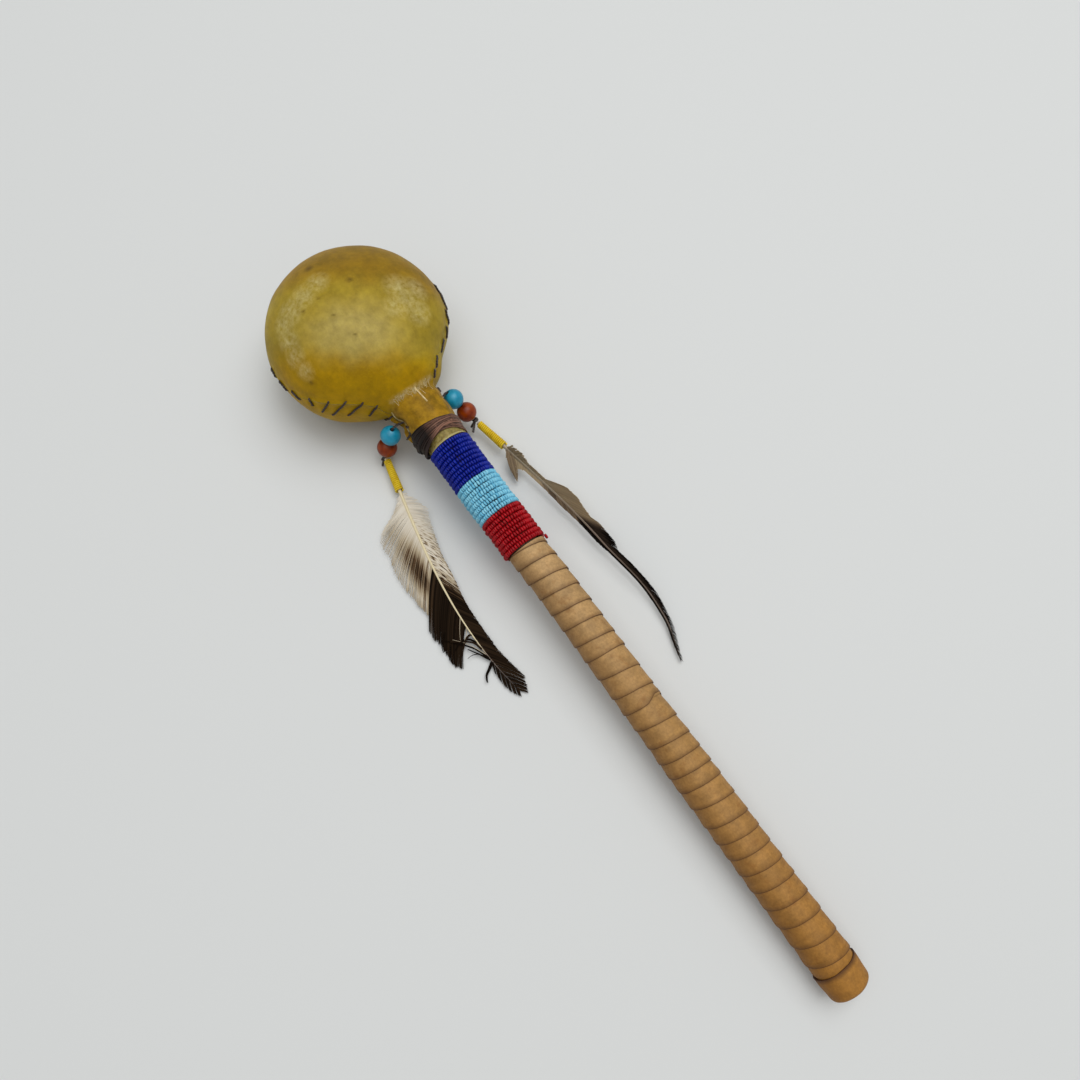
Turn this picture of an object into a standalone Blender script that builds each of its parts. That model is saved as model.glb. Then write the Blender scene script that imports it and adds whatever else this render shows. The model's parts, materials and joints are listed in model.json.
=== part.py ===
# A hide rattle lying on a table: a laced rawhide head with pebbles inside, a bound and beaded neck,
# a leather-wrapped handle, and two drops of beads with a feather. Metres, +Z up. The head rests on
# the origin and the handle runs to +X, sloping down until its butt touches the table.

import math

import bmesh
import bpy
import numpy as np
from mathutils import Matrix, Vector

MM = 0.001

# Clearances
FIT_GAP = 0.3 * MM  # between pieces that touch
TURN_GAP = 0.48 * MM  # between neighbouring turns of a winding

# Head: two dished rawhide shells that meet at a seam, with half of the neck on each
HEAD_RADIUS = 38.8 * MM
HEAD_HALF_HEIGHT = 28.4 * MM
HEAD_SIDEWAYS = 3.6 * MM  # the head sits this far to -Y of the handle's line
REST_FLAT_DEPTH = 1.2 * MM
HIDE_WALL = 1.3 * MM
SEAM_GAP = 0.7 * MM
SEAM_LIFT = math.radians(12)  # how far round from its widest the head is sewn, on both sides
HEAD_PINCH = 1.2 * MM  # the head narrows a little before the neck
NECK_LENGTH = 24.5 * MM
NECK_FLARE = 1.6 * MM

# Lace that whips the two shells together
LACE_RADIUS = 0.45 * MM
STITCHES = 36
STITCH_REACH = 3.0 * MM  # from the seam to each hole
STITCH_SLANT = 4.5 * MM
HOLE_CLEARANCE = 0.4 * MM
LACE_START = 0.7 * MM  # beyond the head's edge, on the +Y side
LACE_END = -0.8 * MM  # the same on the -Y side

# Handle
HANDLE_LENGTH = 282.2 * MM  # from the head's edge to the butt's end face
STICK_RADIUS = 6.6 * MM
STICK_INSET = 7.0 * MM  # from the head's edge to the stick's inner end
CAP_LENGTH = 10.5 * MM
CAP_WALL = 1.7 * MM
CAP_END_WALL = 1.8 * MM
CAP_EDGE = 1.5 * MM

# Windings
BINDING_OFFSET = 12.2 * MM  # from the head's edge
BINDING_CORD_RADIUS = 0.32 * MM
BINDING_LOOPS = 7
STRAND_RADIUS = 0.83 * MM  # a thread of seed beads
BANDS = (("cobalt_beads", 8), ("sky_beads", 7), ("red_beads", 7))
STRIP_LOOPS = 24
STRIP_WALL = 1.0 * MM
STRIP_LIFT = 0.45 * MM  # how far each turn's butt side stands proud

# Pebbles that rattle inside
PEBBLES = 7
PEBBLE_RADIUS = 3.6 * MM
PEBBLE_SPREAD = 0.5 * MM  # how much the pebbles differ
PEBBLE_RING = 16.0 * MM
PEBBLE_CLEARANCE = 0.45 * MM

# Drops
DROP_OFFSET = 5.0 * MM  # from the head's edge to the place where a drop is tied
THONG_RADIUS = 0.55 * MM
DROP_BEAD_RADIUS = 4.35 * MM
KNOT_RADIUS = 1.3 * MM
TAIL_RADIUS = 0.4 * MM
TAIL_LENGTH = 4.5 * MM
WRAP_START = 2.5 * MM  # from the knot
WRAP_LENGTH = 15.5 * MM
WRAP_WALL = 0.45 * MM
WRAP_SWELL = 0.35 * MM  # how much thicker its feather end is
QUILL_RADIUS = 0.95 * MM
RACHIS_TIP_RADIUS = 0.3 * MM
VANE_START = 1.0 * MM  # beyond the wrap

# Each drop: the thong's bend and the knot, from where it is tied; the knot's height is from the table
DROPS = {
    "left": {
        "side": -1,
        "bend": Vector((-1.0, -5.2, -1.3)) * MM,
        "knot": Vector((-0.8, -13.1)) * MM,
        "knot_height": 5.0 * MM,
        "tail": Vector((0.3, -0.59, -0.74)),
        "yaw": math.radians(-12.6),
        "dip": math.radians(1.9),
        "length": 121.0 * MM,
        "side_bend": 16.2 * MM,
        "droop": 0.0 * MM,
        "roll": 0.0,
        "wide": 14.0 * MM,
        "narrow": 5.8 * MM,
    },
    "right": {
        "side": 1,
        "bend": Vector((-2.0, 2.8, -3.4)) * MM,
        "knot": Vector((9.6, 8.0)) * MM,
        "knot_height": 6.9 * MM,
        "tail": Vector((0.7, -0.7, -0.14)),
        "yaw": math.radians(10.6),
        "dip": math.radians(-0.6),
        "length": 135.8 * MM,
        "side_bend": -16.7 * MM,
        "droop": 6.2 * MM,
        "roll": math.radians(86),
        "wide": 11.0 * MM,
        "narrow": 4.2 * MM,
    },
}

# Mesh counts
SHELL_SEGMENTS = 14
BULB_STATIONS = 12
ROOT_STATIONS = 6
NECK_STATIONS = 3
ROUND_SEGMENTS = 28
LOOP_POINTS = 14
STRIP_STEPS = 14
BEAD_SEGMENTS = 16
BEAD_ARC = 8
QUILL_STATIONS = 4
VANE_STATIONS = 17
FEATHER_SEGMENTS = 10

# Places along the handle's axis, from the head's centre
NECK_END = HEAD_RADIUS + NECK_LENGTH
BINDING_START = HEAD_RADIUS + BINDING_OFFSET
STICK_START = HEAD_RADIUS + STICK_INSET
BUTT_END = HEAD_RADIUS + HANDLE_LENGTH
CAP_START = BUTT_END - CAP_LENGTH
SLEEVE_RADIUS = STICK_RADIUS + FIT_GAP  # what fits over the stick starts here
COLLAR_RADIUS = SLEEVE_RADIUS + HIDE_WALL
CAP_RADIUS = SLEEVE_RADIUS + CAP_WALL
STRAND_PITCH = 2 * STRAND_RADIUS + TURN_GAP
BLEND_POWER = 4  # how tightly the neck's root blends into the head

for old in list(bpy.data.objects):
    bpy.data.objects.remove(old, do_unlink=True)


def collection(name):
    made = bpy.data.collections.new(name)
    bpy.context.scene.collection.children.link(made)
    return made


PARTS = collection("hide_rattle")
CUTTERS = collection("cutters")
CUTTERS.hide_render = True


def material(name, colour, roughness, metallic=0.0):
    made = bpy.data.materials.new(name)
    made.use_nodes = True
    shader = made.node_tree.nodes["Principled BSDF"]
    shader.inputs["Base Color"].default_value = (*colour, 1.0)
    shader.inputs["Roughness"].default_value = roughness
    shader.inputs["Metallic"].default_value = metallic
    return made


RAWHIDE = material("rawhide", (0.33, 0.24, 0.05), 0.45)
SINEW = material("waxed_sinew", (0.03, 0.015, 0.01), 0.55)
BOUND_CORD = material("waxed_cord", (0.09, 0.045, 0.03), 0.5)
WOOD = material("wood", (0.45, 0.3, 0.16), 0.6)
LEATHER = material("tan_leather", (0.5, 0.29, 0.13), 0.6)
COBALT = material("cobalt_glass", (0.01, 0.02, 0.25), 0.25)
SKY = material("sky_glass", (0.22, 0.55, 0.72), 0.25)
RED = material("red_glass", (0.3, 0.01, 0.012), 0.25)
TURQUOISE = material("turquoise_ceramic", (0.01, 0.25, 0.4), 0.15)
RUSSET = material("russet_ceramic", (0.26, 0.05, 0.01), 0.15)
YELLOW = material("yellow_thread", (0.75, 0.5, 0.02), 0.45)
PALE_FEATHER = material("pale_feather", (0.55, 0.5, 0.4), 0.8)
DARK_FEATHER = material("dark_feather", (0.12, 0.09, 0.06), 0.8)
STONE = material("stone", (0.35, 0.33, 0.3), 0.8)


def smooth_step(low, high, value):
    share = min(max((value - low) / (high - low), 0.0), 1.0)
    return share * share * (3 - 2 * share)


def handle_pose():
    # The head's lowest point, less its flat, and the butt's rounded edge both lie on the table.
    edge_x = BUTT_END - CAP_EDGE
    edge_r = CAP_RADIUS - CAP_EDGE
    slope = 0.0
    for _ in range(20):
        lowest = math.hypot(HEAD_RADIUS * math.sin(slope), HEAD_HALF_HEIGHT * math.cos(slope))
        height = lowest - REST_FLAT_DEPTH
        slope = math.asin((height - CAP_EDGE) / math.hypot(edge_x, edge_r)) - math.atan2(edge_r, edge_x)
    return height, slope


AXIS_HEIGHT, SLOPE = handle_pose()
HANDLE = Matrix.Translation((0, 0, AXIS_HEIGHT)) @ Matrix.Rotation(SLOPE, 4, "Y")


def empty(name, place, turn=(0, 0, 0)):
    made = bpy.data.objects.new(name, None)
    made.location = place
    made.rotation_euler = turn
    PARTS.objects.link(made)
    return made


HANDLE_FRAME = empty("handle_frame", (0, 0, AXIS_HEIGHT), (0, SLOPE, 0))


def add(name, data, finish, parent=None, place=(0, 0, 0), turn=(0, 0, 0)):
    made = bpy.data.objects.new(name, data)
    made.data.materials.append(finish)
    made.location = place
    made.rotation_euler = turn
    made.parent = parent
    PARTS.objects.link(made)
    return made


def smooth_shaded(mesh, angle=40):
    mesh.shade_smooth()
    mesh.set_sharp_from_angle(angle=math.radians(angle))


def mapped_grid(name, columns, rows, place, merge=1e-6):
    # A grid primitive whose points are moved to place(column share, row share)
    bm = bmesh.new()
    bmesh.ops.create_grid(bm, x_segments=columns, y_segments=rows, size=1)
    for vertex in bm.verts:
        vertex.co = place((vertex.co.x + 1) / 2, (vertex.co.y + 1) / 2)
    bmesh.ops.remove_doubles(bm, verts=bm.verts, dist=merge)
    mesh = bpy.data.meshes.new(name)
    bm.to_mesh(mesh)
    bm.free()
    return mesh


def turned(name, profile, segments, finish, closed, **placing):
    # A profile of (radius, height) points, turned about Z
    mesh = bpy.data.meshes.new(name)
    count = len(profile)
    edges = [(i, i + 1) for i in range(count - 1)]
    if closed:
        edges.append((count - 1, 0))
    mesh.from_pydata([(r, 0, z) for r, z in profile], edges, [])
    made = add(name, mesh, finish, **placing)
    screw = made.modifiers.new("Turn", "SCREW")
    screw.steps = segments
    screw.render_steps = segments
    screw.use_merge_vertices = True
    screw.merge_threshold = 0.00002
    screw.use_smooth_shade = True
    return made


def tube(name, points, radius, sides, finish, **placing):
    curve = bpy.data.curves.new(name, "CURVE")
    curve.dimensions = "3D"
    curve.bevel_depth = radius
    curve.bevel_resolution = sides // 2 - 2
    curve.use_fill_caps = True
    spline = curve.splines.new("POLY")
    spline.points.add(len(points) - 1)
    for point, place in zip(spline.points, points):
        point.co = (*place, 1)
    return add(name, curve, finish, **placing)


def as_mesh(made):
    # The evaluated object as a plain mesh object with its caps welded, in place of the first one
    graph = bpy.context.evaluated_depsgraph_get()
    mesh = bpy.data.meshes.new_from_object(made.evaluated_get(graph))
    bm = bmesh.new()
    bm.from_mesh(mesh)
    bmesh.ops.remove_doubles(bm, verts=bm.verts, dist=1e-6)
    bmesh.ops.holes_fill(bm, edges=[edge for edge in bm.edges if edge.is_boundary])
    bmesh.ops.recalc_face_normals(bm, faces=bm.faces)
    bm.to_mesh(mesh)
    bm.free()
    name = made.name
    parent = made.parent
    place = made.location.copy()
    turn = made.rotation_euler.copy()
    bpy.data.objects.remove(made)
    whole = bpy.data.objects.new(name, mesh)
    whole.parent = parent
    whole.location = place
    whole.rotation_euler = turn
    PARTS.objects.link(whole)
    return whole


def cut(target, cutter, operation="DIFFERENCE"):
    cutter.hide_render = True
    cutter.display_type = "WIRE"
    for holder in list(cutter.users_collection):
        holder.objects.unlink(cutter)
    CUTTERS.objects.link(cutter)
    boolean = target.modifiers.new(cutter.name, "BOOLEAN")
    boolean.operation = operation
    boolean.solver = "EXACT"
    boolean.object = cutter


def least_gap(points, thickness, loop_points):
    # The nearest that a winding's tube comes to its own other turns
    route = np.array(points)
    nearest = math.inf
    for i in range(len(route) - loop_points // 2):
        apart = np.linalg.norm(route[i + loop_points // 2 :] - route[i], axis=1)
        nearest = min(nearest, apart.min())
    return nearest - thickness


# Head: its section at a place along the axis is an ellipse


def neck_radius(x):
    root = smooth_step(0.2 * HEAD_RADIUS, 0.7 * HEAD_RADIUS, x)
    flare = NECK_FLARE * (1 - smooth_step(HEAD_RADIUS, BINDING_START - FIT_GAP, x))
    return root * (COLLAR_RADIUS + flare)


def head_section(x):
    bulb = math.sqrt(max(0.0, 1 - (x / HEAD_RADIUS) ** 2))
    neck = neck_radius(x)
    width = ((HEAD_RADIUS * bulb) ** BLEND_POWER + neck**BLEND_POWER) ** (1 / BLEND_POWER)
    width -= HEAD_PINCH * math.exp(-(((x / HEAD_RADIUS - 0.77) / 0.16) ** 2))
    height = ((HEAD_HALF_HEIGHT * bulb) ** BLEND_POWER + neck**BLEND_POWER) ** (1 / BLEND_POWER)
    middle = -HEAD_SIDEWAYS * (1 - smooth_step(0.65 * HEAD_RADIUS, 1.12 * HEAD_RADIUS, x))
    return width, height, middle


def head_point(x, turn):
    width, height, middle = head_section(x)
    return Vector((x, middle + width * math.cos(turn), height * math.sin(turn)))


def head_depth(place):
    # Zero on the hide's outer surface, negative inside
    x, y, z = place
    width, height, middle = head_section(max(x, 0.0))
    far = min(x, 0.0) / HEAD_RADIUS
    return math.sqrt(far**2 + ((y - middle) / width) ** 2 + (z / height) ** 2) - 1


def head_slope(place):
    step = 0.02 * MM
    axes = (Vector((step, 0, 0)), Vector((0, step, 0)), Vector((0, 0, step)))
    return Vector([(head_depth(place + a) - head_depth(place - a)) / (2 * step) for a in axes])


def onto_head(place):
    for _ in range(8):
        slope = head_slope(place)
        place = place - slope * (head_depth(place) / slope.length_squared)
    return place, head_slope(place).normalized()


NECK_ROOT = 0.9 * HEAD_RADIUS
NECK_START = 1.07 * HEAD_RADIUS
SEAM_UP = Vector((0, 0, 1))


def head_stations():
    # Stations close up at the far pole and at the neck's root
    root_turn = math.acos(NECK_ROOT / HEAD_RADIUS)
    bulb = [HEAD_RADIUS * math.cos(turn) for turn in np.linspace(math.pi, root_turn, BULB_STATIONS + 1)]
    root = np.linspace(NECK_ROOT, NECK_START, ROOT_STATIONS + 1)[1:]
    neck = np.linspace(NECK_START, BINDING_START - FIT_GAP, NECK_STATIONS + 1)[1:]
    return [*bulb, *root, *neck, NECK_END]


def shell(name, upper):
    stations = head_stations()

    def place(along, around):
        x = stations[round(along * (len(stations) - 1))]
        start = SEAM_LIFT if upper else math.pi - SEAM_LIFT
        span = math.pi - 2 * SEAM_LIFT if upper else math.pi + 2 * SEAM_LIFT
        point = head_point(x, start + span * (1 - around))
        point += SEAM_UP * (SEAM_GAP / 2 if upper else -SEAM_GAP / 2)
        world = HANDLE @ point
        world.z = max(world.z, 0.0)
        return HANDLE.inverted() @ world

    mesh = mapped_grid(name, len(stations) - 1, SHELL_SEGMENTS, place)
    smooth_shaded(mesh)
    made = add(name, mesh, RAWHIDE, parent=HANDLE_FRAME)
    solidify = made.modifiers.new("Wall", "SOLIDIFY")
    solidify.thickness = HIDE_WALL
    solidify.offset = -1
    return made


def seam_route():
    # The seam from the neck's +Y side, round the far pole, to its -Y side
    points = []
    for side, reach in ((1, LACE_START), (-1, LACE_END)):
        run = []
        for x in np.linspace(HEAD_RADIUS + reach, NECK_ROOT, 12, endpoint=False):
            run.append(x)
        root_turn = math.acos(NECK_ROOT / HEAD_RADIUS)
        for turn in np.linspace(root_turn, math.pi, 120):
            run.append(HEAD_RADIUS * math.cos(turn))
        if side < 0:
            run = run[-2::-1]
        for x in run:
            turn = SEAM_LIFT if side > 0 else math.pi - SEAM_LIFT
            points.append(head_point(x, turn))
    return np.array(points)


def stitches():
    # Each stitch's two holes, as (place, outward direction): the lower one, then the upper one
    route = seam_route()
    lengths = np.concatenate([[0], np.cumsum(np.linalg.norm(np.diff(route, axis=0), axis=1))])
    found = []
    for at in np.linspace(0, lengths[-1], STITCHES):
        middle = Vector([np.interp(at, lengths, route[:, axis]) for axis in range(3)])
        ahead = Vector([np.interp(at + MM, lengths, route[:, axis]) for axis in range(3)])
        behind = Vector([np.interp(at - MM, lengths, route[:, axis]) for axis in range(3)])
        along = (ahead - behind).normalized()
        _, out = onto_head(middle)
        up = out.cross(along)
        if up.dot(SEAM_UP) < 0:
            up.negate()
        lower = onto_head(middle - up * STITCH_REACH - along * STITCH_SLANT / 2)
        upper = onto_head(middle + up * STITCH_REACH + along * STITCH_SLANT / 2)
        found.append((lower, upper))
    return found


def hole_cutter(name, holes):
    # Square awl holes through the hide, all in one cutter
    side = 2 * (LACE_RADIUS + HOLE_CLEARANCE)
    bm = bmesh.new()
    for place, out in holes:
        turn = out.to_track_quat("Z", "Y").to_matrix().to_4x4()
        size = Matrix.Diagonal((side, side, 5 * HIDE_WALL, 1))
        bmesh.ops.create_cube(bm, size=1, matrix=Matrix.Translation(place) @ turn @ size)
    mesh = bpy.data.meshes.new(name)
    bm.to_mesh(mesh)
    bm.free()
    made = bpy.data.objects.new(name, mesh)
    made.parent = HANDLE_FRAME
    return made


def make_head():
    upper_shell = shell("upper_shell", True)
    lower_shell = shell("lower_shell", False)
    sewn = stitches()
    cut(lower_shell, hole_cutter("lower_holes", [lower for lower, _ in sewn]))
    cut(upper_shell, hole_cutter("upper_holes", [upper for _, upper in sewn]))
    outside = LACE_RADIUS + FIT_GAP + 0.05 * MM
    inside = HIDE_WALL + LACE_RADIUS + 2 * FIT_GAP
    route = []
    for (low, low_out), (high, high_out) in sewn:
        over, over_out = onto_head((low + high) / 2)
        route.append(low - low_out * inside)
        route.append(low + low_out * outside)
        route.append(over + over_out * outside)
        route.append(high + high_out * outside)
        route.append(high - high_out * inside)
    tube("seam_lace", route, LACE_RADIUS, 4, SINEW, parent=HANDLE_FRAME)


def make_handle():
    bm = bmesh.new()
    length = BUTT_END - CAP_END_WALL - FIT_GAP - STICK_START
    lie = Matrix.Translation((STICK_START + length / 2, 0, 0)) @ Matrix.Rotation(math.pi / 2, 4, "Y")
    bmesh.ops.create_cone(
        bm,
        cap_ends=True,
        segments=ROUND_SEGMENTS,
        radius1=STICK_RADIUS,
        radius2=STICK_RADIUS,
        depth=length,
        matrix=lie,
    )
    mesh = bpy.data.meshes.new("handle_stick")
    bm.to_mesh(mesh)
    bm.free()
    smooth_shaded(mesh)
    add("handle_stick", mesh, WOOD, parent=HANDLE_FRAME)

    # A leather cup over the butt, turned with its open end at the bottom
    bore = SLEEVE_RADIUS / math.cos(math.pi / ROUND_SEGMENTS)
    profile = [(0, CAP_LENGTH)]
    for turn in np.linspace(math.pi / 2, 0, 5):
        r = CAP_RADIUS - CAP_EDGE + CAP_EDGE * math.cos(turn)
        profile.append((r, CAP_LENGTH - CAP_EDGE + CAP_EDGE * math.sin(turn)))
    inner_end = CAP_LENGTH - CAP_END_WALL
    profile += [(CAP_RADIUS, 0), (bore, 0), (bore, inner_end), (0, inner_end)]
    turned(
        "butt_cap",
        profile,
        ROUND_SEGMENTS,
        LEATHER,
        closed=False,
        parent=HANDLE_FRAME,
        place=(CAP_START, 0, 0),
        turn=(0, math.pi / 2, 0),
    )


def winding(name, start, core_radius, cord_radius, loops, finish):
    # One unbroken helix of cord round the handle's axis, clear of its core
    pitch = 2 * cord_radius + TURN_GAP
    radius = (core_radius + FIT_GAP + cord_radius) / math.cos(math.pi / LOOP_POINTS)
    points = []
    for i in range(loops * LOOP_POINTS + 1):
        turn = 2 * math.pi * i / LOOP_POINTS
        x = start + pitch * i / LOOP_POINTS
        points.append((x, radius * math.sin(turn), -radius * math.cos(turn)))
    tube(name, points, cord_radius, 6, finish, parent=HANDLE_FRAME)
    gap = least_gap(points, 2 * cord_radius, LOOP_POINTS)
    print(f"{name}: {loops} loops, least gap to itself {gap / MM:.2f} mm")
    return start + pitch * loops


def leather_strip(start, end):
    # A flat strip wound along the handle. Each turn stands proud at the side nearer the butt.
    pitch = (end - start + TURN_GAP) / (STRIP_LOOPS + 1)
    width = pitch - TURN_GAP
    inner = SLEEVE_RADIUS / math.cos(math.pi / STRIP_STEPS)
    low = inner + STRIP_WALL
    high = low + STRIP_LIFT
    profile = [(start, inner), (start, low), (start + width, high), (start + width, inner)]
    mesh = bpy.data.meshes.new("leather_wrap")
    mesh.from_pydata([(x, 0, r) for x, r in profile], [(0, 1), (1, 2), (2, 3), (3, 0)], [])
    made = add("leather_wrap", mesh, LEATHER, parent=HANDLE_FRAME)
    screw = made.modifiers.new("Wind", "SCREW")
    screw.axis = "X"
    screw.angle = -math.tau
    screw.screw_offset = pitch
    screw.iterations = STRIP_LOOPS
    screw.steps = STRIP_STEPS
    screw.render_steps = STRIP_STEPS
    bpy.context.view_layer.update()
    as_mesh(made)
    edge = [(start + width, high, 0)]
    for i in range(STRIP_LOOPS * STRIP_STEPS + 1):
        turn = 2 * math.pi * i / STRIP_STEPS
        edge.append((start + pitch * i / STRIP_STEPS, high * math.cos(turn), high * math.sin(turn)))
    gap = least_gap(edge[1:], width, STRIP_STEPS)
    print(f"leather_wrap: {STRIP_LOOPS} loops, least gap to itself {gap / MM:.2f} mm")


def make_windings():
    winding(
        "neck_binding", BINDING_START, COLLAR_RADIUS, BINDING_CORD_RADIUS, BINDING_LOOPS, BOUND_CORD
    )
    start = NECK_END + STRAND_RADIUS + FIT_GAP
    for (name, loops), finish in zip(BANDS, (COBALT, SKY, RED)):
        start = winding(name, start, STICK_RADIUS, STRAND_RADIUS, loops, finish) + STRAND_PITCH
    leather_strip(start - STRAND_PITCH + STRAND_RADIUS + FIT_GAP, CAP_START - FIT_GAP)


def pebble_lane(x, y, radius):
    # The lowest and highest centre of a pebble that rises straight up inside the hide
    inset = HIDE_WALL + radius + PEBBLE_CLEARANCE
    scale = Vector((HEAD_RADIUS - inset, HEAD_RADIUS - inset, HEAD_HALF_HEIGHT - inset))
    turn_in = HANDLE.inverted()
    offset = Vector((0, HEAD_SIDEWAYS, 0))
    foot = turn_in @ Vector((x, y, 0)) + offset
    rise = turn_in.to_3x3() @ Vector((0, 0, 1))
    foot = Vector([foot[i] / scale[i] for i in range(3)])
    rise = Vector([rise[i] / scale[i] for i in range(3)])
    half = foot.dot(rise) / rise.length_squared
    root = math.sqrt(half**2 - (foot.length_squared - 1) / rise.length_squared)
    return -half - root, -half + root


def make_pebbles():
    for i in range(PEBBLES):
        radius = PEBBLE_RADIUS + PEBBLE_SPREAD * math.cos(2.4 * i)
        turn = 2 * math.pi * i / PEBBLES
        x = PEBBLE_RING * math.cos(turn)
        y = PEBBLE_RING * math.sin(turn) - HEAD_SIDEWAYS
        low, high = pebble_lane(x, y, radius)
        bm = bmesh.new()
        bmesh.ops.create_icosphere(bm, subdivisions=2, radius=radius)
        for vertex in bm.verts:
            vertex.co.y *= 0.86
            vertex.co.x *= 0.94
        mesh = bpy.data.meshes.new(f"pebble_{i + 1}")
        bm.to_mesh(mesh)
        bm.free()
        mesh.shade_smooth()
        add(f"pebble_{i + 1}", mesh, STONE, place=(x, y, low), turn=(0, 0, turn))
        print(f"pebble_{i + 1}: rises {(high - low) / MM:.1f} mm")


# Drops


def drop_bead(name, finish, centre, axis, parent):
    # A round bead turned about its bore
    bore = (THONG_RADIUS + FIT_GAP) / math.cos(math.pi / BEAD_SEGMENTS)
    rim = math.asin(bore / DROP_BEAD_RADIUS)
    profile = []
    for turn in np.linspace(rim, math.pi - rim, BEAD_ARC + 1):
        profile.append((DROP_BEAD_RADIUS * math.sin(turn), DROP_BEAD_RADIUS * math.cos(turn)))
    made = turned(name, profile, BEAD_SEGMENTS, finish, closed=True, place=centre)
    made.rotation_euler = axis.to_track_quat("Z", "Y").to_euler()
    made.parent = parent
    return made


def feather(name, drop, finish, knot):
    # One lofted solid: the round quill, then a thin vane that is wider on one side of its rachis
    start = KNOT_RADIUS + FIT_GAP
    wrap_end = WRAP_START + WRAP_LENGTH
    vane = wrap_end + VANE_START
    length = drop["length"]
    side = drop["side"]

    quill_share = QUILL_STATIONS / (QUILL_STATIONS + VANE_STATIONS)

    def place(along, around):
        if along <= quill_share:
            s = start + (vane - start) * along / quill_share
        else:
            s = vane + (length - vane) * ((along - quill_share) / (1 - quill_share)) ** 1.2
        bent = max(0.0, (s - wrap_end) / (length - wrap_end))
        opened = max(0.0, (s - vane) / (length - vane))
        spread = min(1.0, opened / 0.16) ** 0.7 * min(1.0, (1 - opened) / 0.3) ** 0.8
        thick = QUILL_RADIUS + (RACHIS_TIP_RADIUS - QUILL_RADIUS) * bent
        wide = max(thick, drop["wide"] * spread)
        narrow = max(thick, drop["narrow"] * spread)
        if along in (0.0, 1.0):
            wide = narrow = thick = 0.0
        turn = 2 * math.pi * around
        across = side * ((wide - narrow) / 2 + (wide + narrow) / 2 * math.cos(turn))
        over = thick * math.sin(turn) * side
        lean = drop["roll"] * side
        y = across * math.cos(lean) - over * math.sin(lean)
        z = across * math.sin(lean) + over * math.cos(lean)
        return Vector((s, y + drop["side_bend"] * bent**3, z - drop["droop"] * bent**2))

    mesh = mapped_grid(name, QUILL_STATIONS + VANE_STATIONS, FEATHER_SEGMENTS, place)
    bm = bmesh.new()
    bm.from_mesh(mesh)
    bmesh.ops.recalc_face_normals(bm, faces=bm.faces)
    bm.to_mesh(mesh)
    bm.free()
    mesh.shade_smooth()
    add(name, mesh, finish, parent=knot)


def make_drop(name, drop, finish):
    tie = HEAD_RADIUS + DROP_OFFSET
    width, _, middle = head_section(tie)
    out = middle + drop["side"] * (width + FIT_GAP + THONG_RADIUS)
    tied = HANDLE @ Vector((tie, out, 0))
    bend = tied + drop["bend"]
    knot = Vector((tied.x + drop["knot"].x, tied.y + drop["knot"].y, drop["knot_height"]))
    up = (bend - knot).normalized()
    swing = empty(f"{name}_swing", tied)
    hold = empty(f"{name}_twirl", knot - tied, (0, drop["dip"], drop["yaw"]))
    hold.parent = swing

    route = [Vector((0, 0, 0)), bend - tied, knot + up * (KNOT_RADIUS + FIT_GAP) - tied]
    tube(f"{name}_thong", route, THONG_RADIUS, 6, SINEW, parent=swing)

    russet = KNOT_RADIUS + FIT_GAP + DROP_BEAD_RADIUS
    turquoise = russet + 2 * DROP_BEAD_RADIUS + FIT_GAP
    drop_bead(f"{name}_russet_bead", RUSSET, knot + up * russet - tied, up, swing)
    drop_bead(f"{name}_turquoise_bead", TURQUOISE, knot + up * turquoise - tied, up, swing)

    bm = bmesh.new()
    bmesh.ops.create_icosphere(bm, subdivisions=2, radius=KNOT_RADIUS)
    mesh = bpy.data.meshes.new(f"{name}_knot")
    bm.to_mesh(mesh)
    bm.free()
    mesh.shade_smooth()
    knotted = add(f"{name}_knot", mesh, SINEW, parent=swing, place=knot - tied)
    hang = drop["tail"].normalized()
    tail = tube(
        f"{name}_tail",
        [Vector((0, 0, 0)), hang * TAIL_LENGTH * 0.6, hang * TAIL_LENGTH],
        TAIL_RADIUS,
        6,
        SINEW,
        parent=swing,
        place=knot - tied,
    )
    bpy.context.view_layer.update()
    cut(knotted, as_mesh(tail), "UNION")

    # The wrap is turned about Z, then laid along the quill
    bore = (QUILL_RADIUS + FIT_GAP) / math.cos(math.pi / BEAD_SEGMENTS)
    outer = bore + WRAP_WALL
    profile = [(outer + WRAP_SWELL, WRAP_LENGTH), (outer, 0), (bore, 0), (bore, WRAP_LENGTH)]
    turned(
        f"{name}_quill_wrap",
        profile,
        BEAD_SEGMENTS,
        YELLOW,
        closed=True,
        parent=hold,
        place=(WRAP_START, 0, 0),
        turn=(0, math.pi / 2, 0),
    )
    feather(f"{name}_feather", drop, finish, hold)
    print(f"{name}: tied at {tuple(round(v, 6) for v in tied)}, knot at {tuple(round(v, 6) for v in knot)}")
    print(f"{name}: thong direction {tuple(round(v, 6) for v in up)}")


make_head()
make_handle()
make_windings()
make_pebbles()
make_drop("left", DROPS["left"], PALE_FEATHER)
make_drop("right", DROPS["right"], DARK_FEATHER)
bpy.context.view_layer.update()
print(f"axis height {AXIS_HEIGHT:.6f}, slope {math.degrees(SLOPE):.4f} degrees")
print("butt end", tuple(round(v, 6) for v in HANDLE @ Vector((BUTT_END, 0, 0))))
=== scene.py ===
import json
import math
import random

import bpy
from mathutils import Matrix, Vector, noise
from mathutils.bvhtree import BVHTree


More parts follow.
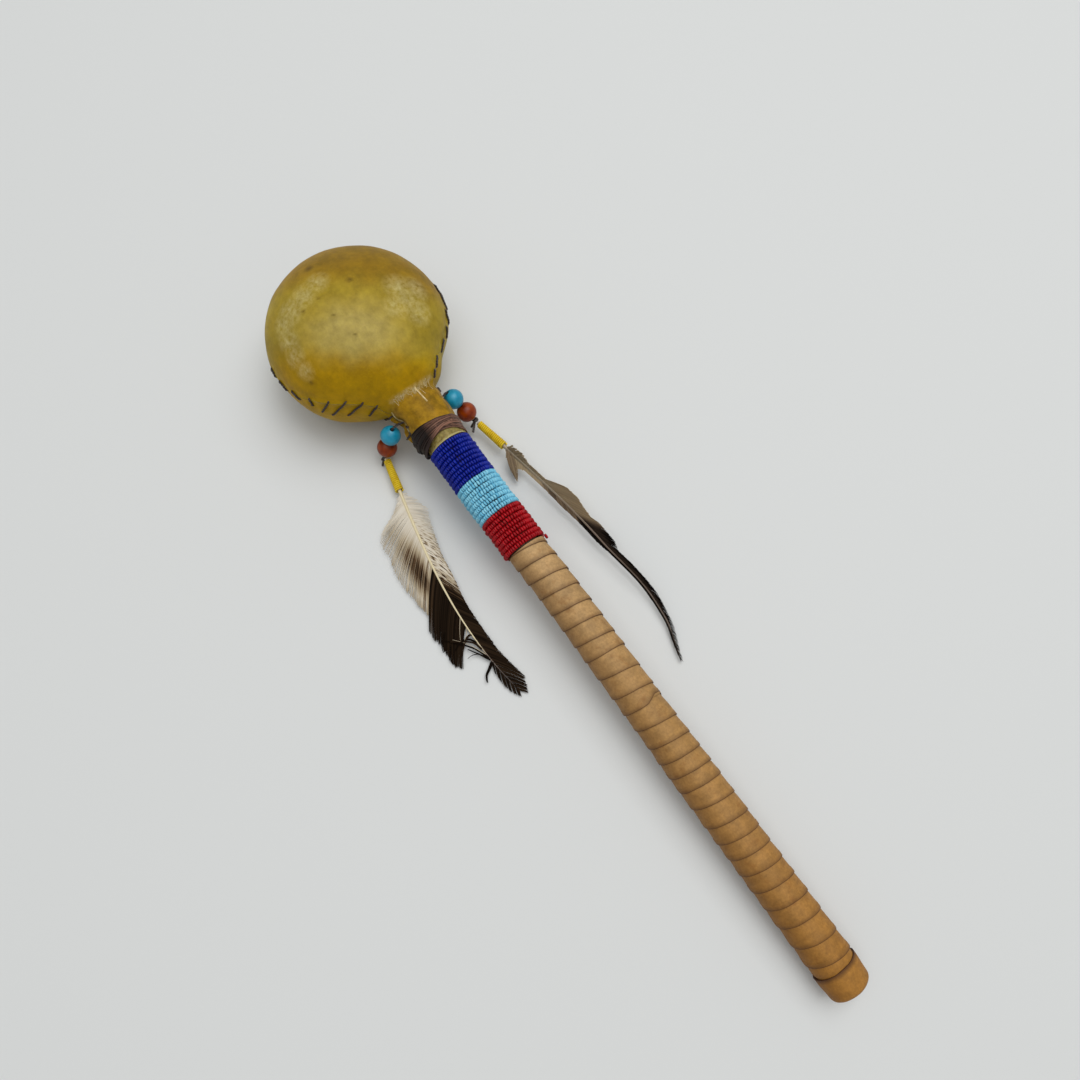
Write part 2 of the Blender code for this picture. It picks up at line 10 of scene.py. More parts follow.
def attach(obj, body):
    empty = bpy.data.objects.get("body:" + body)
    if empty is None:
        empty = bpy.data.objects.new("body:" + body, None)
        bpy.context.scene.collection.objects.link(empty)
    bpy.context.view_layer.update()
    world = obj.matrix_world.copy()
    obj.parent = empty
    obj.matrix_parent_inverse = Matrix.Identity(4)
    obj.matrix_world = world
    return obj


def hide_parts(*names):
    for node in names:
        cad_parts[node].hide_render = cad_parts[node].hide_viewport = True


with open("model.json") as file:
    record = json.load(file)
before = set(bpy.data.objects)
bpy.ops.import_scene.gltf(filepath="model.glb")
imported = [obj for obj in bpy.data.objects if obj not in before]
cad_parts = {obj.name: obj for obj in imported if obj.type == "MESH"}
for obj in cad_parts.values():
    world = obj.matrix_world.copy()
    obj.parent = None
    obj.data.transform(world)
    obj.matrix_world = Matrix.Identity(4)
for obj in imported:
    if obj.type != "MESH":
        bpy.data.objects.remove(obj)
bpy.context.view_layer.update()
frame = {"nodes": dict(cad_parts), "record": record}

mm = 0.001
record = frame["record"]
joints = {joint["name"]: joint for joint in record["behaviour"]["joints"]}
butt = next(mount for mount in record["mounts"] if mount["name"] == "butt_end")
slope = math.asin(-butt["axis"][2])
handleLength = 0.321  # from the middle of the head to the butt
middleHeight = butt["pos_m"][2] + handleLength * math.sin(slope)
handle = Matrix.Translation((0, 0, middleHeight)) @ Matrix.Rotation(slope, 4, "Y")


def ease(low, high, x):  # 0 below low, 1 above high
    t = min(1, max(0, (x - low) / (high - low)))
    return t * t * (3 - 2 * t)


def hump(x, middle, width):  # 1 at the middle, fading to both sides
    return math.exp(-((x - middle) / width) ** 2)


def wobble(x, y, z):  # smooth noise about 0
    return noise.noise(Vector((x, y, z)))


def along(table, x):  # straight lines through pairs of x and value
    for (x0, y0), (x1, y1) in zip(table, table[1:]):
        if x <= x1:
            return y0 + (y1 - y0) * min(1, max(0, (x - x0) / (x1 - x0)))
    return table[-1][1]


def objectMode():
    bpy.ops.object.mode_set(mode="OBJECT")


def activate(obj):  # the only selected object
    if bpy.context.mode != "OBJECT":
        objectMode()
    bpy.ops.object.select_all(action="DESELECT")
    obj.select_set(True)
    bpy.context.view_layer.objects.active = obj


def edit(obj, test=None, kind="vertices"):  # edit mode, with what passes the test selected
    activate(obj)
    mesh = obj.data
    for group in (mesh.vertices, mesh.edges, mesh.polygons):
        group.foreach_set("select", [not test] * len(group))
    if test:
        for item in getattr(mesh, kind):
            item.select = test(item)
    bpy.ops.object.mode_set(mode="EDIT")
    bpy.ops.mesh.select_mode(type={"vertices": "VERT", "polygons": "FACE"}[kind])


def applyPlace():  # the active object's place, turn and scale go into its mesh
    bpy.ops.object.transform_apply(location=True, rotation=True, scale=True)


def modify(obj, kind, **settings):  # adds a modifier and applies it
    activate(obj)
    modifier = obj.modifiers.new(kind.title(), kind)
    for key, value in settings.items():
        setattr(modifier, key, value)
    bpy.ops.object.modifier_apply(modifier=modifier.name)


def tidyMesh(obj, gap=1e-6):  # welds and turns the faces outward
    edit(obj)
    bpy.ops.mesh.remove_doubles(threshold=gap)
    bpy.ops.mesh.normals_make_consistent(inside=False)
    objectMode()


def meshPiece(name, points, faces):
    mesh = bpy.data.meshes.new(name)
    mesh.from_pydata([tuple(p) for p in points], [], faces)
    obj = bpy.data.objects.new(name, mesh)
    bpy.context.collection.objects.link(obj)
    return obj


def tube(name, paths, radius, taper=None, sides=2):  # round tubes along paths, as one mesh
    curve = bpy.data.curves.new(name, "CURVE")
    curve.dimensions = "3D"
    curve.bevel_depth = radius
    curve.bevel_resolution = sides
    curve.use_fill_caps = True
    for path in paths:
        spline = curve.splines.new("POLY")
        spline.points.add(len(path) - 1)
        for i, (point, place) in enumerate(zip(spline.points, path)):
            point.co = (*place, 1)
            point.radius = taper(i / (len(path) - 1)) if taper else 1
    obj = bpy.data.objects.new(name, curve)
    bpy.context.collection.objects.link(obj)
    activate(obj)
    bpy.ops.object.convert(target="MESH")
    obj = bpy.context.object
    tidyMesh(obj)
    return obj


def evenSteps(first, last, count):
    return [first + (last - first) * i / count for i in range(count + 1)]


def giveValues(obj, name, values):  # a number for each vertex
    obj.data.attributes.new(name, "FLOAT", "POINT").data.foreach_set("value", values)


def smoothPath(points, step):  # a rounded path through the points, at an even step
    full = [points[0] * 2 - points[1], *points, points[-1] * 2 - points[-2]]
    fine = []
    for p0, p1, p2, p3 in zip(full, full[1:], full[2:], full[3:]):
        count = max(2, int((p2 - p1).length / step))
        for i in range(count):
            t = i / count
            fine.append(0.5 * (2 * p1 + (p2 - p0) * t + (2 * p0 - 5 * p1 + 4 * p2 - p3) * t * t
                               + (3 * p1 - p0 - 3 * p2 + p3) * t ** 3))
    return fine + [points[-1]]


def twisted(path, offset, plies, lay):  # the paths of plies laid round a path
    side = (path[1] - path[0]).orthogonal().normalized()
    made = [[] for _ in range(plies)]
    run = 0
    for i, point in enumerate(path):
        ahead = (path[min(i + 1, len(path) - 1)] - path[max(i - 1, 0)]).normalized()
        side = (side - ahead * side.dot(ahead)).normalized()
        run += (point - path[i - 1]).length if i else 0
        for k in range(plies):
            turn = math.tau * (run / lay + k / plies)
            made[k].append(point + (side * math.cos(turn) + ahead.cross(side) * math.sin(turn)) * offset)
    return made


def finishPiece(obj, name, body, slot, finishes, *nodes, onHandle=False, angle=50):
    activate(obj)
    if onHandle:
        obj.matrix_world = handle @ obj.matrix_world
    applyPlace()
    bpy.ops.object.shade_smooth_by_angle(angle=math.radians(angle))
    obj.name = obj.data.name = name
    if not obj.data.materials:
        for finish in finishes:
            obj.data.materials.append(finish)
    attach(obj, body)
    if nodes:
        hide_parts(*nodes)
    print(f"{name}: {len(obj.data.polygons)} faces")


def colour(code):  # sRGB hex to linear
    parts = [int(code[i:i + 2], 16) / 255 for i in (1, 3, 5)]
    return (*[p / 12.92 if p <= 0.04045 else ((p + 0.055) / 1.055) ** 2.4 for p in parts], 1)


def addNode(tree, kind, settings=None, links=None):  # gives the new node's outputs
    node = tree.nodes.new("ShaderNode" + kind)
    for key, value in (settings or {}).items():
        setattr(node, key, value)
    for socket, source in (links or {}).items():
        if isinstance(source, bpy.types.NodeSocket):
            tree.links.new(source, node.inputs[socket])
        else:
            node.inputs[socket].default_value = source
    return node.outputs


def addRange(tree, source, low, high, first=0, last=1):  # low to high becomes first to last
    return addNode(tree, "MapRange", links={0: source, 1: low, 2: high, 3: first, 4: last})[0]


def addRamp(tree, source, stops):  # a number becomes a colour
    tone = addNode(tree, "ValToRGB", links={0: source})[0]
    ramp = tone.node.color_ramp.elements
    for i, (place, code) in enumerate(stops):
        element = ramp[i] if i < 2 else ramp.new(place)
        element.position, element.color = place, colour(code)
    return tone


def addBlend(tree, amount, under, over):  # of two colours
    return addNode(tree, "Mix", {"data_type": "RGBA"}, {0: amount, 6: under, 7: over})[2]


def addNoise(tree, coords, size, detail, rough=0.5):  # patches of a real size
    links = {"Vector": coords, "Scale": 1 / size, "Detail": detail, "Roughness": rough}
    return addNode(tree, "TexNoise", links=links)[0]


def addStreaks(tree, coords, lengthways, around):  # one size along the handle and another round it
    scale = (1 / lengthways, 1 / around, 1 / around)
    return addNoise(tree, addNode(tree, "Mapping", links={"Vector": coords, "Scale": scale})[0], 1, 4)


def newMaterial(name, **values):
    made = bpy.data.materials.new(name)
    made.use_nodes = True
    shader = made.node_tree.nodes["Principled BSDF"]
    for key, value in values.items():
        shader.inputs[key.replace("_", " ")].default_value = value
    return made, made.node_tree, shader


def clouded(name, size, detail, stops, **values):  # colour that drifts in patches of a real size
    made, tree, shader = newMaterial(name, **values)
    coords = addNode(tree, "TexCoord")["Object"]
    patches = addNoise(tree, coords, size, detail)
    tone = addRamp(tree, patches, stops)
    tree.links.new(tone, shader.inputs["Base Color"])
    return made


def painted(name, attribute, stops, **values):  # colour that follows an attribute of the mesh
    made, tree, shader = newMaterial(name, **values)
    amount = addNode(tree, "Attribute", {"attribute_name": attribute})["Fac"]
    tone = addRamp(tree, amount, stops)
    tree.links.new(tone, shader.inputs["Base Color"])
    return made


# Camera, floor and light
camera = {"place": (0.18924, -0.04534, 0.33983), "tilt": 15.482, "turn": 53.967,
          "lens": 27.13, "sensor": 36, "nearest": 0.01}
aimed = (math.radians(camera["tilt"]), 0, math.radians(camera["turn"]))
bpy.ops.object.camera_add(location=camera["place"], rotation=aimed)
viewer = bpy.context.object
viewer.data.lens = camera["lens"]
viewer.data.sensor_width = camera["sensor"]
viewer.data.clip_start = camera["nearest"]
bpy.context.scene.camera = viewer

bpy.ops.mesh.primitive_plane_add(size=4)
floor = bpy.context.object
floor.name = "floor"
# A painted table: pale, even and matt
paleTable = newMaterial("paleTable", Base_Color=colour("#d6d8d7"), Roughness=0.7, Specular_IOR_Level=0.2)[0]
floor.data.materials.append(paleTable)

lights = [  # place, aim, size, watts
    ((-0.15, 0.98, 2.35), (0.05, 0, 0.02), 1.9, 31),
    ((0.1, 0, 1.8), (0.1, 0, 0), 1.8, 13),
]
for place, aim, size, power in lights:
    bpy.ops.object.light_add(type="AREA", location=place)
    light = bpy.context.object
    light.rotation_euler = (Vector(aim) - Vector(place)).to_track_quat("-Z", "Y").to_euler()
    light.data.size = size
    light.data.energy = power
room = {"asLight": 0.31, "asSeen": 0.72}  # dim as a light, pale where it is seen
world = bpy.data.worlds.new("studio")
world.use_nodes = True
tree = world.node_tree
sky = tree.nodes["Background"]
sky.inputs["Color"].default_value = (1, 1, 1, 1)
ray = addNode(tree, "LightPath")
seen = ray["Is Camera Ray"]
for other in ("Is Glossy Ray", "Is Transmission Ray"):
    seen = addNode(tree, "Math", {"operation": "MAXIMUM"}, {0: seen, 1: ray[other]})[0]
strength = addRange(tree, seen, 0, 1, room["asLight"], room["asSeen"])
tree.links.new(strength, sky.inputs["Strength"])
bpy.context.scene.world = world
bpy.context.scene.view_settings.view_transform = "Standard"
print("camera, floor and light")


# Hide head
head = {"radius": 38.8 * mm, "halfHeight": 28.4 * mm, "aside": -3.6 * mm, "wall": 1.3 * mm,
        "collar": 8.9 * mm, "flare": 1.4 * mm, "root": 34.9 * mm, "tieAt": 43.8 * mm,
        "bindingAt": 50.7 * mm, "end": 63.3 * mm, "neckRings": 46,
        "pinch": 1.2 * mm, "pinchAt": 0.77, "pinchWidth": 0.16,  # places are shares of the radius
        "drawIn": 2.1 * mm, "drawAt": 0.68, "drawWidth": 0.2,
        "neckRight": 1.1 * mm, "neckLeft": 1.7 * mm, "lowerLeft": 2.5 * mm,
        "tieLength": 2.6 * mm, "tieHeight": 4 * mm, "seamGap": 0.12 * mm, "tableGap": 0.02 * mm,
        # the seam's course, millimetres along and degrees up
        "seamLeft": [(-25, 3), (-5, 4.5), (3, 5.5), (10.5, 10), (17, 19), (22.5, 25), (27, 30), (31, 34),
                     (34.5, 31), (37, 11), (40.5, -11), (63, -6)],
        "seamRight": [(-15, 3), (0, 6), (10, 7), (21, 5), (27, 11), (32, 26), (36, 29), (39, 15), (43, 4),
                      (63, 0)]}
seamUp = Vector((0, 0, 1))


def headSection(x):  # half width, half height and middle of the head across the handle's line
    r = head["radius"]
    bulb = math.sqrt(max(0, 1 - (x / r) ** 2))
    neck = head["collar"] + head["flare"] * (1 - ease(r, head["bindingAt"], x))
    neck *= ease(0.2 * r, 0.7 * r, x)
    sizes = [((full * bulb) ** 4 + neck ** 4) ** 0.25 for full in (r, head["halfHeight"])]
    sizes[0] -= head["pinch"] * hump(x / r, head["pinchAt"], head["pinchWidth"])
    return *sizes, head["aside"] * (1 - ease(0.65 * r, 1.12 * r, x))


def drawIn(x):  # the right side is a little flatter towards the neck
    return head["drawIn"] * hump(x / head["radius"], head["drawAt"], head["drawWidth"])


def neckSpread(x, y, z):  # the neck is flattened, and on the left its lower half stands out under the upper
    width, height, middle = headSection(x)
    share = (y - middle) / width
    tied = hump(x, head["tieAt"], head["tieLength"]) * hump(z, 0, head["tieHeight"])
    share *= 1 - tied  # drawn in where a thong goes through
    if share > 0:
        return head["neckRight"] * share * ease(36, 44, x / mm) * (1 - ease(50, 58, x / mm))
    lower = 1 - ease(-1.1, 0.1, (z - seamHeight(x, y)) / mm)
    spread = head["neckLeft"] + head["lowerLeft"] * lower
    return spread * share * ease(35.5, 40, x / mm) * (1 - ease(50, 61, x / mm))


def seamHeight(x, y):  # how high the seam runs, by side
    width, height, middle = headSection(x)
    share = min(1, max(0, 0.5 + 0.5 * (y - middle) / width))
    lift = along(head["seamLeft"], x / mm) * (1 - share) + along(head["seamRight"], x / mm) * share
    return height * math.sin(math.radians(lift))


def seamPoint(x, side):
    width, height, middle = headSection(x)
    rise = seamHeight(x, middle + side * width)
    out = width * math.sqrt(max(0, 1 - (rise / height) ** 2)) if height else 0
    flat = drawIn(x) * out / width if side > 0 else 0
    return Vector((x, middle + side * out - flat, rise))


stitch = {"apart": 6.6, "reach": 2.2, "slant": 5, "below": 2.5, "radius": 0.3 * mm, "ply": 0.21 * mm,
          "lay": 2.4 * mm, "depth": 1 * mm, "lift": 0.42 * mm, "clear": 0.05 * mm}
stitchEnds = [  # upper and lower end of those in sight, millimetres
    ((-6.8, -41.7, 2.6), (-2.8, -42.1, 1.6)), ((0, -42.4, 3.0), (5.2, -41.8, 2.2)),
    ((8.2, -40.8, 5.6), (12.6, -39.7, 4.2)), ((16.6, -36.7, 8.6), (18.4, -36.9, 5.2)),
    ((23.3, -31.2, 10.6), (22, -35, 3.7)), ((27.7, -25.7, 11.3), (25.2, -32.2, 3.1)),
    ((31.7, -20.1, 10.5), (29.2, -27.3, 3.2)), ((35, -15.9, 7.8), (33.8, -20.2, 1.7)),
    ((37.7, -12, -0.8), (34.8, -14.8, -7.8)),
    ((48, -9.7, 3.2), (45.8, -11.6, 0.5)), ((49.4, -10.7, 0.6), (50, -12.4, -3)),
    ((1.2, 34.7, 4.8), (6.9, 34.4, 2.6)), ((7, 34.3, 4.4), (12.6, 32.9, 2)),
    ((13.6, 31.7, 5), (18.2, 30.2, 1.2)), ((19.8, 28.3, 4), (23, 26.4, 0.6)),
    ((24.6, 24.2, 4.6), (28.4, 20.9, 3.2)), ((30.6, 17.2, 8), (34, 14.1, 6.4)),
    ((34.9, 12.8, 7), (36.6, 11.2, 4.9)), ((39.6, 11, 1.6), (41.4, 10.9, 0.2)),
]
stitches = [(Vector(high) * mm, Vector(low) * mm) for high, low in stitchEnds]
far = {"right": 0, "crown": -30, "tip": -38.8, "left": -10}  # millimetres along the seam's far side
farRight = evenSteps(far["right"], far["crown"], 200) + evenSteps(far["crown"], far["tip"], 40)[1:]
farLeft = evenSteps(far["tip"], far["crown"], 40)[:-1] + evenSteps(far["crown"], far["left"], 200)
farSeam = [seamPoint(x * mm, 1) for x in farRight] + [seamPoint(x * mm, -1) for x in farLeft]
run = 0
for a, b in zip(farSeam, farSeam[1:]):  # the same spacing round the far side
    run += (b - a).length / mm
    if run > stitch["apart"]:
        run = 0
        ahead = (b - a).normalized()
        under = b - seamUp * stitch["below"] * mm  # out of sight from above
        half = ahead * stitch["slant"] / 2 * mm
        stitches.append((under - half, under + half - seamUp * stitch["reach"] * mm))

marks = {  # places on the hide, millimetres along, across and up
    # pale frost patches: partly the hide's own frosting, partly painted reflection of the side lights
    "frostAndReflection": [(-14.8, -8.2, 26.1, 6), (-13.4, -16, 25, 7), (-12.1, -23.2, 22.8, 7.5), (-9.5, -28.4, 20.6, 7),
              (-2.9, -30.9, 20.1, 6.5), (3.2, -32.1, 19.1, 6), (10.1, -32.1, 17.9, 5),
              (3.9, 18.1, 23.4, 7.5), (6.3, 23.9, 19.5, 7), (10.5, 17.4, 22.6, 8.5), (15.7, 19.5, 19.7, 7),
              (10.8, 12.6, 24.5, 6)],
    # a pale band across the middle of the top: painted sheen, where an overhead light is reflected
    "haze": {"across": 0, "down": 13.6, "halfWidth": 30, "halfHeight": 17},
    "specks": [(-7.6, 3.1, 27.4, 1.7), (-8, -11.2, 27.2, 1.0), (-7.7, -18.9, 25.5, 1.1),
               (12.9, -7.7, 26.6, 1.0), (14.7, -32.6, 15.5, 1.4), (1.9, -10.4, 27.9, 0.9),
               (-24.5, -6.9, 21.9, 2.6)],
    "crease": [(36.6, -9.5, 7.8), (37.0, -7.4, 9.0), (37.5, -3.1, 10.2), (37.8, 1.1, 10.2), (37.6, 5.6, 9.1),
               (37.1, 9.6, 7.0)],
}

bpy.ops.mesh.primitive_uv_sphere_add(segments=208, ring_count=140, radius=head["radius"],
                                     rotation=(0, math.pi / 2, 0))
hide = bpy.context.object
applyPlace()
hide.scale.z = head["halfHeight"] / head["radius"]
applyPlace()
for vertex in hide.data.vertices:  # pulled to the side and drawn out to the neck's root
    width, height, middle = headSection(vertex.co.x)
    bulb = math.sqrt(max(1e-9, 1 - (vertex.co.x / head["radius"]) ** 2))
    if bulb > 0.01:
        vertex.co.y *= width / (head["radius"] * bulb)
        vertex.co.z *= height / (head["halfHeight"] * bulb)
    if vertex.co.y > 0:
        vertex.co.y -= drawIn(vertex.co.x) * vertex.co.y / width
    vertex.co.y += middle
edit(hide, lambda v: v.co.x > head["root"])
bpy.ops.mesh.delete(type="VERT")
objectMode()
rootX = max(v.co.x for v in hide.data.vertices)
edit(hide, lambda v: v.co.x > rootX - 1e-6)
ring = (rootX, *headSection(rootX))
for i in range(1, head["neckRings"] + 1):  # the neck, ring by ring
    x = rootX + (head["end"] - rootX) * i / head["neckRings"]
    width, height, middle = headSection(x)
    bpy.ops.mesh.extrude_region_move(TRANSFORM_OT_translate={"value": (x - ring[0], middle - ring[3], 0)})
    bpy.ops.transform.resize(value=(1, width / ring[1], height / ring[2]), center_override=(x, middle, 0))
    ring = (x, width, height, middle)
objectMode()
tidyMesh(hide)

creasePath = smoothPath([Vector(p) * mm for p in marks["crease"]], 0.4 * mm)
markLayer = hide.data.color_attributes.new("marks", "FLOAT_COLOR", "POINT")
paintedSheenShares = []
normals = [v.normal.copy() for v in hide.data.vertices]
for i, vertex in enumerate(hide.data.vertices):
    p = vertex.co.copy()
    q = p / mm
    wave = noise.noise(q / 26) * 0.5 + noise.noise(q / 9 + Vector((7, 3, 1))) * 0.16  # dents, in millimetres
    wave += noise.noise(q / 2.6) * 0.035
    away = abs(p.z - seamHeight(p.x, p.y)) / mm
    if away < 5:  # the seam's edge stands up a little and is drawn in at each stitch
        wave += 0.3 * (1 - ease(0.2, 1.6, away)) - 0.12 * (1 - ease(1.5, 5, away))
        near = min((p - (high + low) / 2).length for high, low in stitches) / mm
        wave -= 0.3 * (1 - ease(0.4, 3.2, near))
    calm = 1 - 0.6 * ease(46, 52, q.x)
    ripple = math.sin(9 * math.atan2(q.z, q.y) + 1.3 * math.sin(q.x / 6))
    folds = 0.13 * ease(38, 46, q.x) * (1 - 0.7 * ease(52, 60, q.x)) * ripple  # the neck is gathered
    vertex.co += normals[i] * (wave * calm + folds) * mm
    vertex.co.y += neckSpread(p.x, p.y, p.z)
    # frost: pale patches, partly painted reflection of the side lights
    frostAndReflection, speck = (max(0, max(1 - (q - Vector(spot[:3])).length / spot[3] for spot in marks[kind]))
                    for kind in ("frostAndReflection", "specks"))
    crease = 0
    if q.x > 30 and q.z > 0:
        crease = max(0, 1 - min((p - c).length for c in creasePath) / (1.9 * mm))
    across = 0.588 * q.x + 0.809 * q.y  # turned 54 degrees, towards the neck and the left feather
    down = 0.809 * q.x - 0.588 * q.y + 3.5 * noise.noise(q / 8)
    # the pale middle band is painted sheen, the reflection of an overhead light
    patch = marks["haze"]
    aside = (across - patch["across"]) / patch["halfWidth"]
    below = (down - patch["down"]) / patch["halfHeight"]
    haze = 1 - math.hypot(aside, below) if q.z > 0 else 0
    # amber above and below the middle; the paler middle band is partly painted sheen
    amber = 0.5 + 0.5 * ease(11, 28, down) - 0.45 * ease(1, 17, -down)
    markLayer.data[i].color = (frostAndReflection ** 0.8, speck, crease, amber)
    paintedSheenShares.append(ease(0, 0.8, haze))
giveValues(hide, "haze", paintedSheenShares)
tidyMesh(hide)
surface = BVHTree.FromPolygons([v.co for v in hide.data.vertices],
                               [p.vertices[:] for p in hide.data.polygons])


def onHide(point, lift=0):  # the nearest place on the outside of the hide
    place, normal = surface.find_nearest(point)[:2]
    return place + normal * lift, normal


# Amber rawhide: waxy, cloudy and uneven, with grainy pale frost patches that are partly painted reflection, a
# pale painted sheen across the middle, and a soft shine
glow = {"Subsurface_Weight": 0.5, "Subsurface_Scale": 0.004, "Subsurface_Radius": (1, 0.7, 0.2)}
hideFinish, tree, shader = newMaterial("amberRawhide", Roughness=0.5, Specular_IOR_Level=0.12, **glow)
coords = addNode(tree, "TexCoord")["Object"]
mark = addNode(tree, "Attribute", {"attribute_name": "marks"})
channel = addNode(tree, "SeparateColor", links={0: mark["Color"]})
clouds = addNoise(tree, coords, 18 * mm, 5, 0.6)
fine = addNoise(tree, coords, 3.8 * mm, 5, 0.7)
grain = addNoise(tree, coords, 1.9 * mm, 4, 0.65)
# the paler, more olive middle stop is partly painted sheen
ambers = [(0, "#84640a"), (1, "#a48000"), (0.5, "#9f8826"), (0.75, "#a3850c")]
base = addRamp(tree, mark["Alpha"], ambers)
blotch = addNode(tree, "Mix", links={0: 0.45, 2: fine, 3: clouds})[0]
shade = addRange(tree, blotch, 0.4, 0.6, 0.8, 1.19)
# paler across the middle: painted sheen
haze = addNode(tree, "Attribute", {"attribute_name": "haze"})["Fac"]
withPaintedSheen = addBlend(tree, haze, base, colour("#ab9850"))
skin = addNode(tree, "HueSaturation", links={"Value": shade, "Color": withPaintedSheen})[0]
grainBreakup = addRange(tree, grain, 0.28, 0.8)
patchy = addNode(tree, "Math", {"operation": "MULTIPLY"}, {0: channel[0], 1: 0.8})[0]
# frost patches, partly painted reflection, broken up by the grain
frostAndReflection = addNode(tree, "Math", {"operation": "MULTIPLY", "use_clamp": True}, {0: patchy, 1: grainBreakup})[0]
worn = addNode(tree, "Math", {"operation": "MULTIPLY", "use_clamp": True}, {0: channel[2], 1: grainBreakup})[0]
x = addNode(tree, "SeparateXYZ", links={0: coords})[0]
onNeck = addRange(tree, x, 36.5 * mm, 40 * mm)
neckTone = addRamp(tree, blotch, [(0.41, "#785a08"), (0.59, "#ab8216")])
end = addRange(tree, x, 57.5 * mm, 59.5 * mm)
suede = addRamp(tree, grain, [(0.35, "#6a5a2a"), (0.65, "#a09056")])
rim = addRange(tree, x, 62.7 * mm, 63.4 * mm)
rimmed = addBlend(tree, rim, suede, colour("#b5a872"))  # the cut end is paler
layers = [(frostAndReflection, colour("#cabf8c")), (channel[1], colour("#5a4310")), (onNeck, neckTone),
          (worn, colour("#cdbb8a")), (end, rimmed)]
for amount, over in layers:  # frost patches (partly painted reflection), specks, the neck, its crease and its suede end
    skin = addBlend(tree, amount, skin, over)
tree.links.new(skin, shader.inputs["Base Color"])
bump = addNode(tree, "Bump", links={"Height": grain, "Strength": 0.25, "Distance": 0.3 * mm})[0]
tree.links.new(bump, shader.inputs["Normal"])
# The hide's cut edge: pale and fibrous
hideEdge = clouded("hideCutEdge", 1.4 * mm, 3, [(0.3, "#7d6430"), (0.7, "#b79d60")], Roughness=0.8)

activate(hide)
bpy.ops.object.duplicate()
lowerHide = bpy.context.object
upperHide = hide
halves = [(upperHide, 1, "upperHide", "upper_shell"), (lowerHide, -1, "lowerHide", "lower_shell")]
for half, side, name, node in halves:
    for vertex in half.data.vertices:  # the seam laid level for the cut
        vertex.co.z -= seamHeight(vertex.co.x, vertex.co.y)
    edit(half)
    bpy.ops.mesh.bisect(plane_co=(0, 0, head["seamGap"] * side), plane_no=(0, 0, side), clear_inner=True)
    objectMode()
    for vertex in half.data.vertices:
        vertex.co.z += seamHeight(vertex.co.x, vertex.co.y)
    half.data.materials.append(hideFinish)
    half.data.materials.append(hideEdge)
    modify(half, "SOLIDIFY", thickness=head["wall"], offset=-1, material_offset_rim=1)
    tidyMesh(half)
    half.matrix_world = handle @ half.matrix_world
    activate(half)
    applyPlace()
    for vertex in half.data.vertices:  # it rests flat on the table
        vertex.co.z = max(vertex.co.z, head["tableGap"])
    finishPiece(half, name, "rattle", "rawhide", [], node)

# Seam lace: a slanted whip stitch of dark twisted sinew that goes in at an awl hole on each side
lacePaths = []
for high, low in stitches:
    (high, highNormal), (low, lowNormal) = onHide(high), onHide(low)
    path = [low - lowNormal * stitch["depth"], low + lowNormal * stitch["clear"]]
    path += [onHide(low.lerp(high, t), stitch["lift"])[0] for t in (0.12, 0.3, 0.5, 0.7, 0.88)]
    path += [high + highNormal * stitch["clear"], high - highNormal * stitch["depth"]]
    lacePaths += twisted(smoothPath(path, 0.35 * mm), stitch["ply"], 2, stitch["lay"])
# Waxed sinew: brown-black and fibrous
sinew = clouded("darkSinew", 0.7 * mm, 3, [(0.35, "#170e0a"), (0.7, "#3a2a20")], Roughness=0.5)

# Neck scuffs: a bare sliver, a welt along the seam and short fibres teased up along the crease
neckWear = {"sliver": ((37.6, 0.8, 10.4), (45.4, 1.7, 8.9)), "sliverLift": 0.26 * mm, "weltStart": 38,
            "weltRise": 0.9 * mm, "weltLift": 0.1 * mm, "thick": [0.31, 0.34], "fibres": 90}
# Dry hide fibre: pale and dull. The bare sliver is paler and unstained
paleFibre = clouded("paleHideFibre", 1.4 * mm, 3, [(0.35, "#a08a52"), (0.65, "#cfbf92")], Roughness=0.85)
rawSliver = clouded("rawSliver", 1.4 * mm, 3, [(0.35, "#c9ae72"), (0.65, "#e6d3a2")], Roughness=0.7)
random.seed(7)
first, last = (Vector(p) for p in neckWear["sliver"])
sliver = [onHide(first.lerp(last, i / 8) * mm, neckWear["sliverLift"])[0] for i in range(9)]
rise = seamUp * neckWear["weltRise"]
weltLine = [seamPoint((neckWear["weltStart"] + i * 0.5) * mm, -1) + rise for i in range(25)]
scuffPaths = [sliver, [onHide(point, neckWear["weltLift"])[0] for point in weltLine]]
thickness = list(neckWear["thick"])
for _ in range(neckWear["fibres"]):
    start = random.choice(creasePath) + Vector((random.gauss(0, 0.7), random.gauss(0, 0.5), 0)) * mm
    lean = Vector((random.gauss(0.7, 0.5), random.gauss(0, 0.6), 0)) * random.uniform(0.8, 2.2) * mm
    scuffPaths.append([onHide(start + lean * t, (0.02 + 0.12 * t * random.random()) * mm)[0]
                       for t in (0, 0.5, 1)])
    thickness.append(random.uniform(0.05, 0.11))
scuffs = [tube("neckScuffs", [path], size * mm, sides=0) for path, size in zip(scuffPaths, thickness)]
for part in scuffs:
    part.data.materials.append(rawSliver if part is scuffs[0] else paleFibre)
activate(scuffs[0])
for part in scuffs:
    part.select_set(True)
bpy.ops.object.join()
finishPiece(scuffs[0], "neckScuffs", "rattle", "rawhide", [], onHandle=True)
lace = tube("seamLace", lacePaths, stitch["radius"], sides=1)
finishPiece(lace, "seamLace", "rattle", "waxed_sinew", [sinew], "seam_lace", onHandle=True)
print("head")

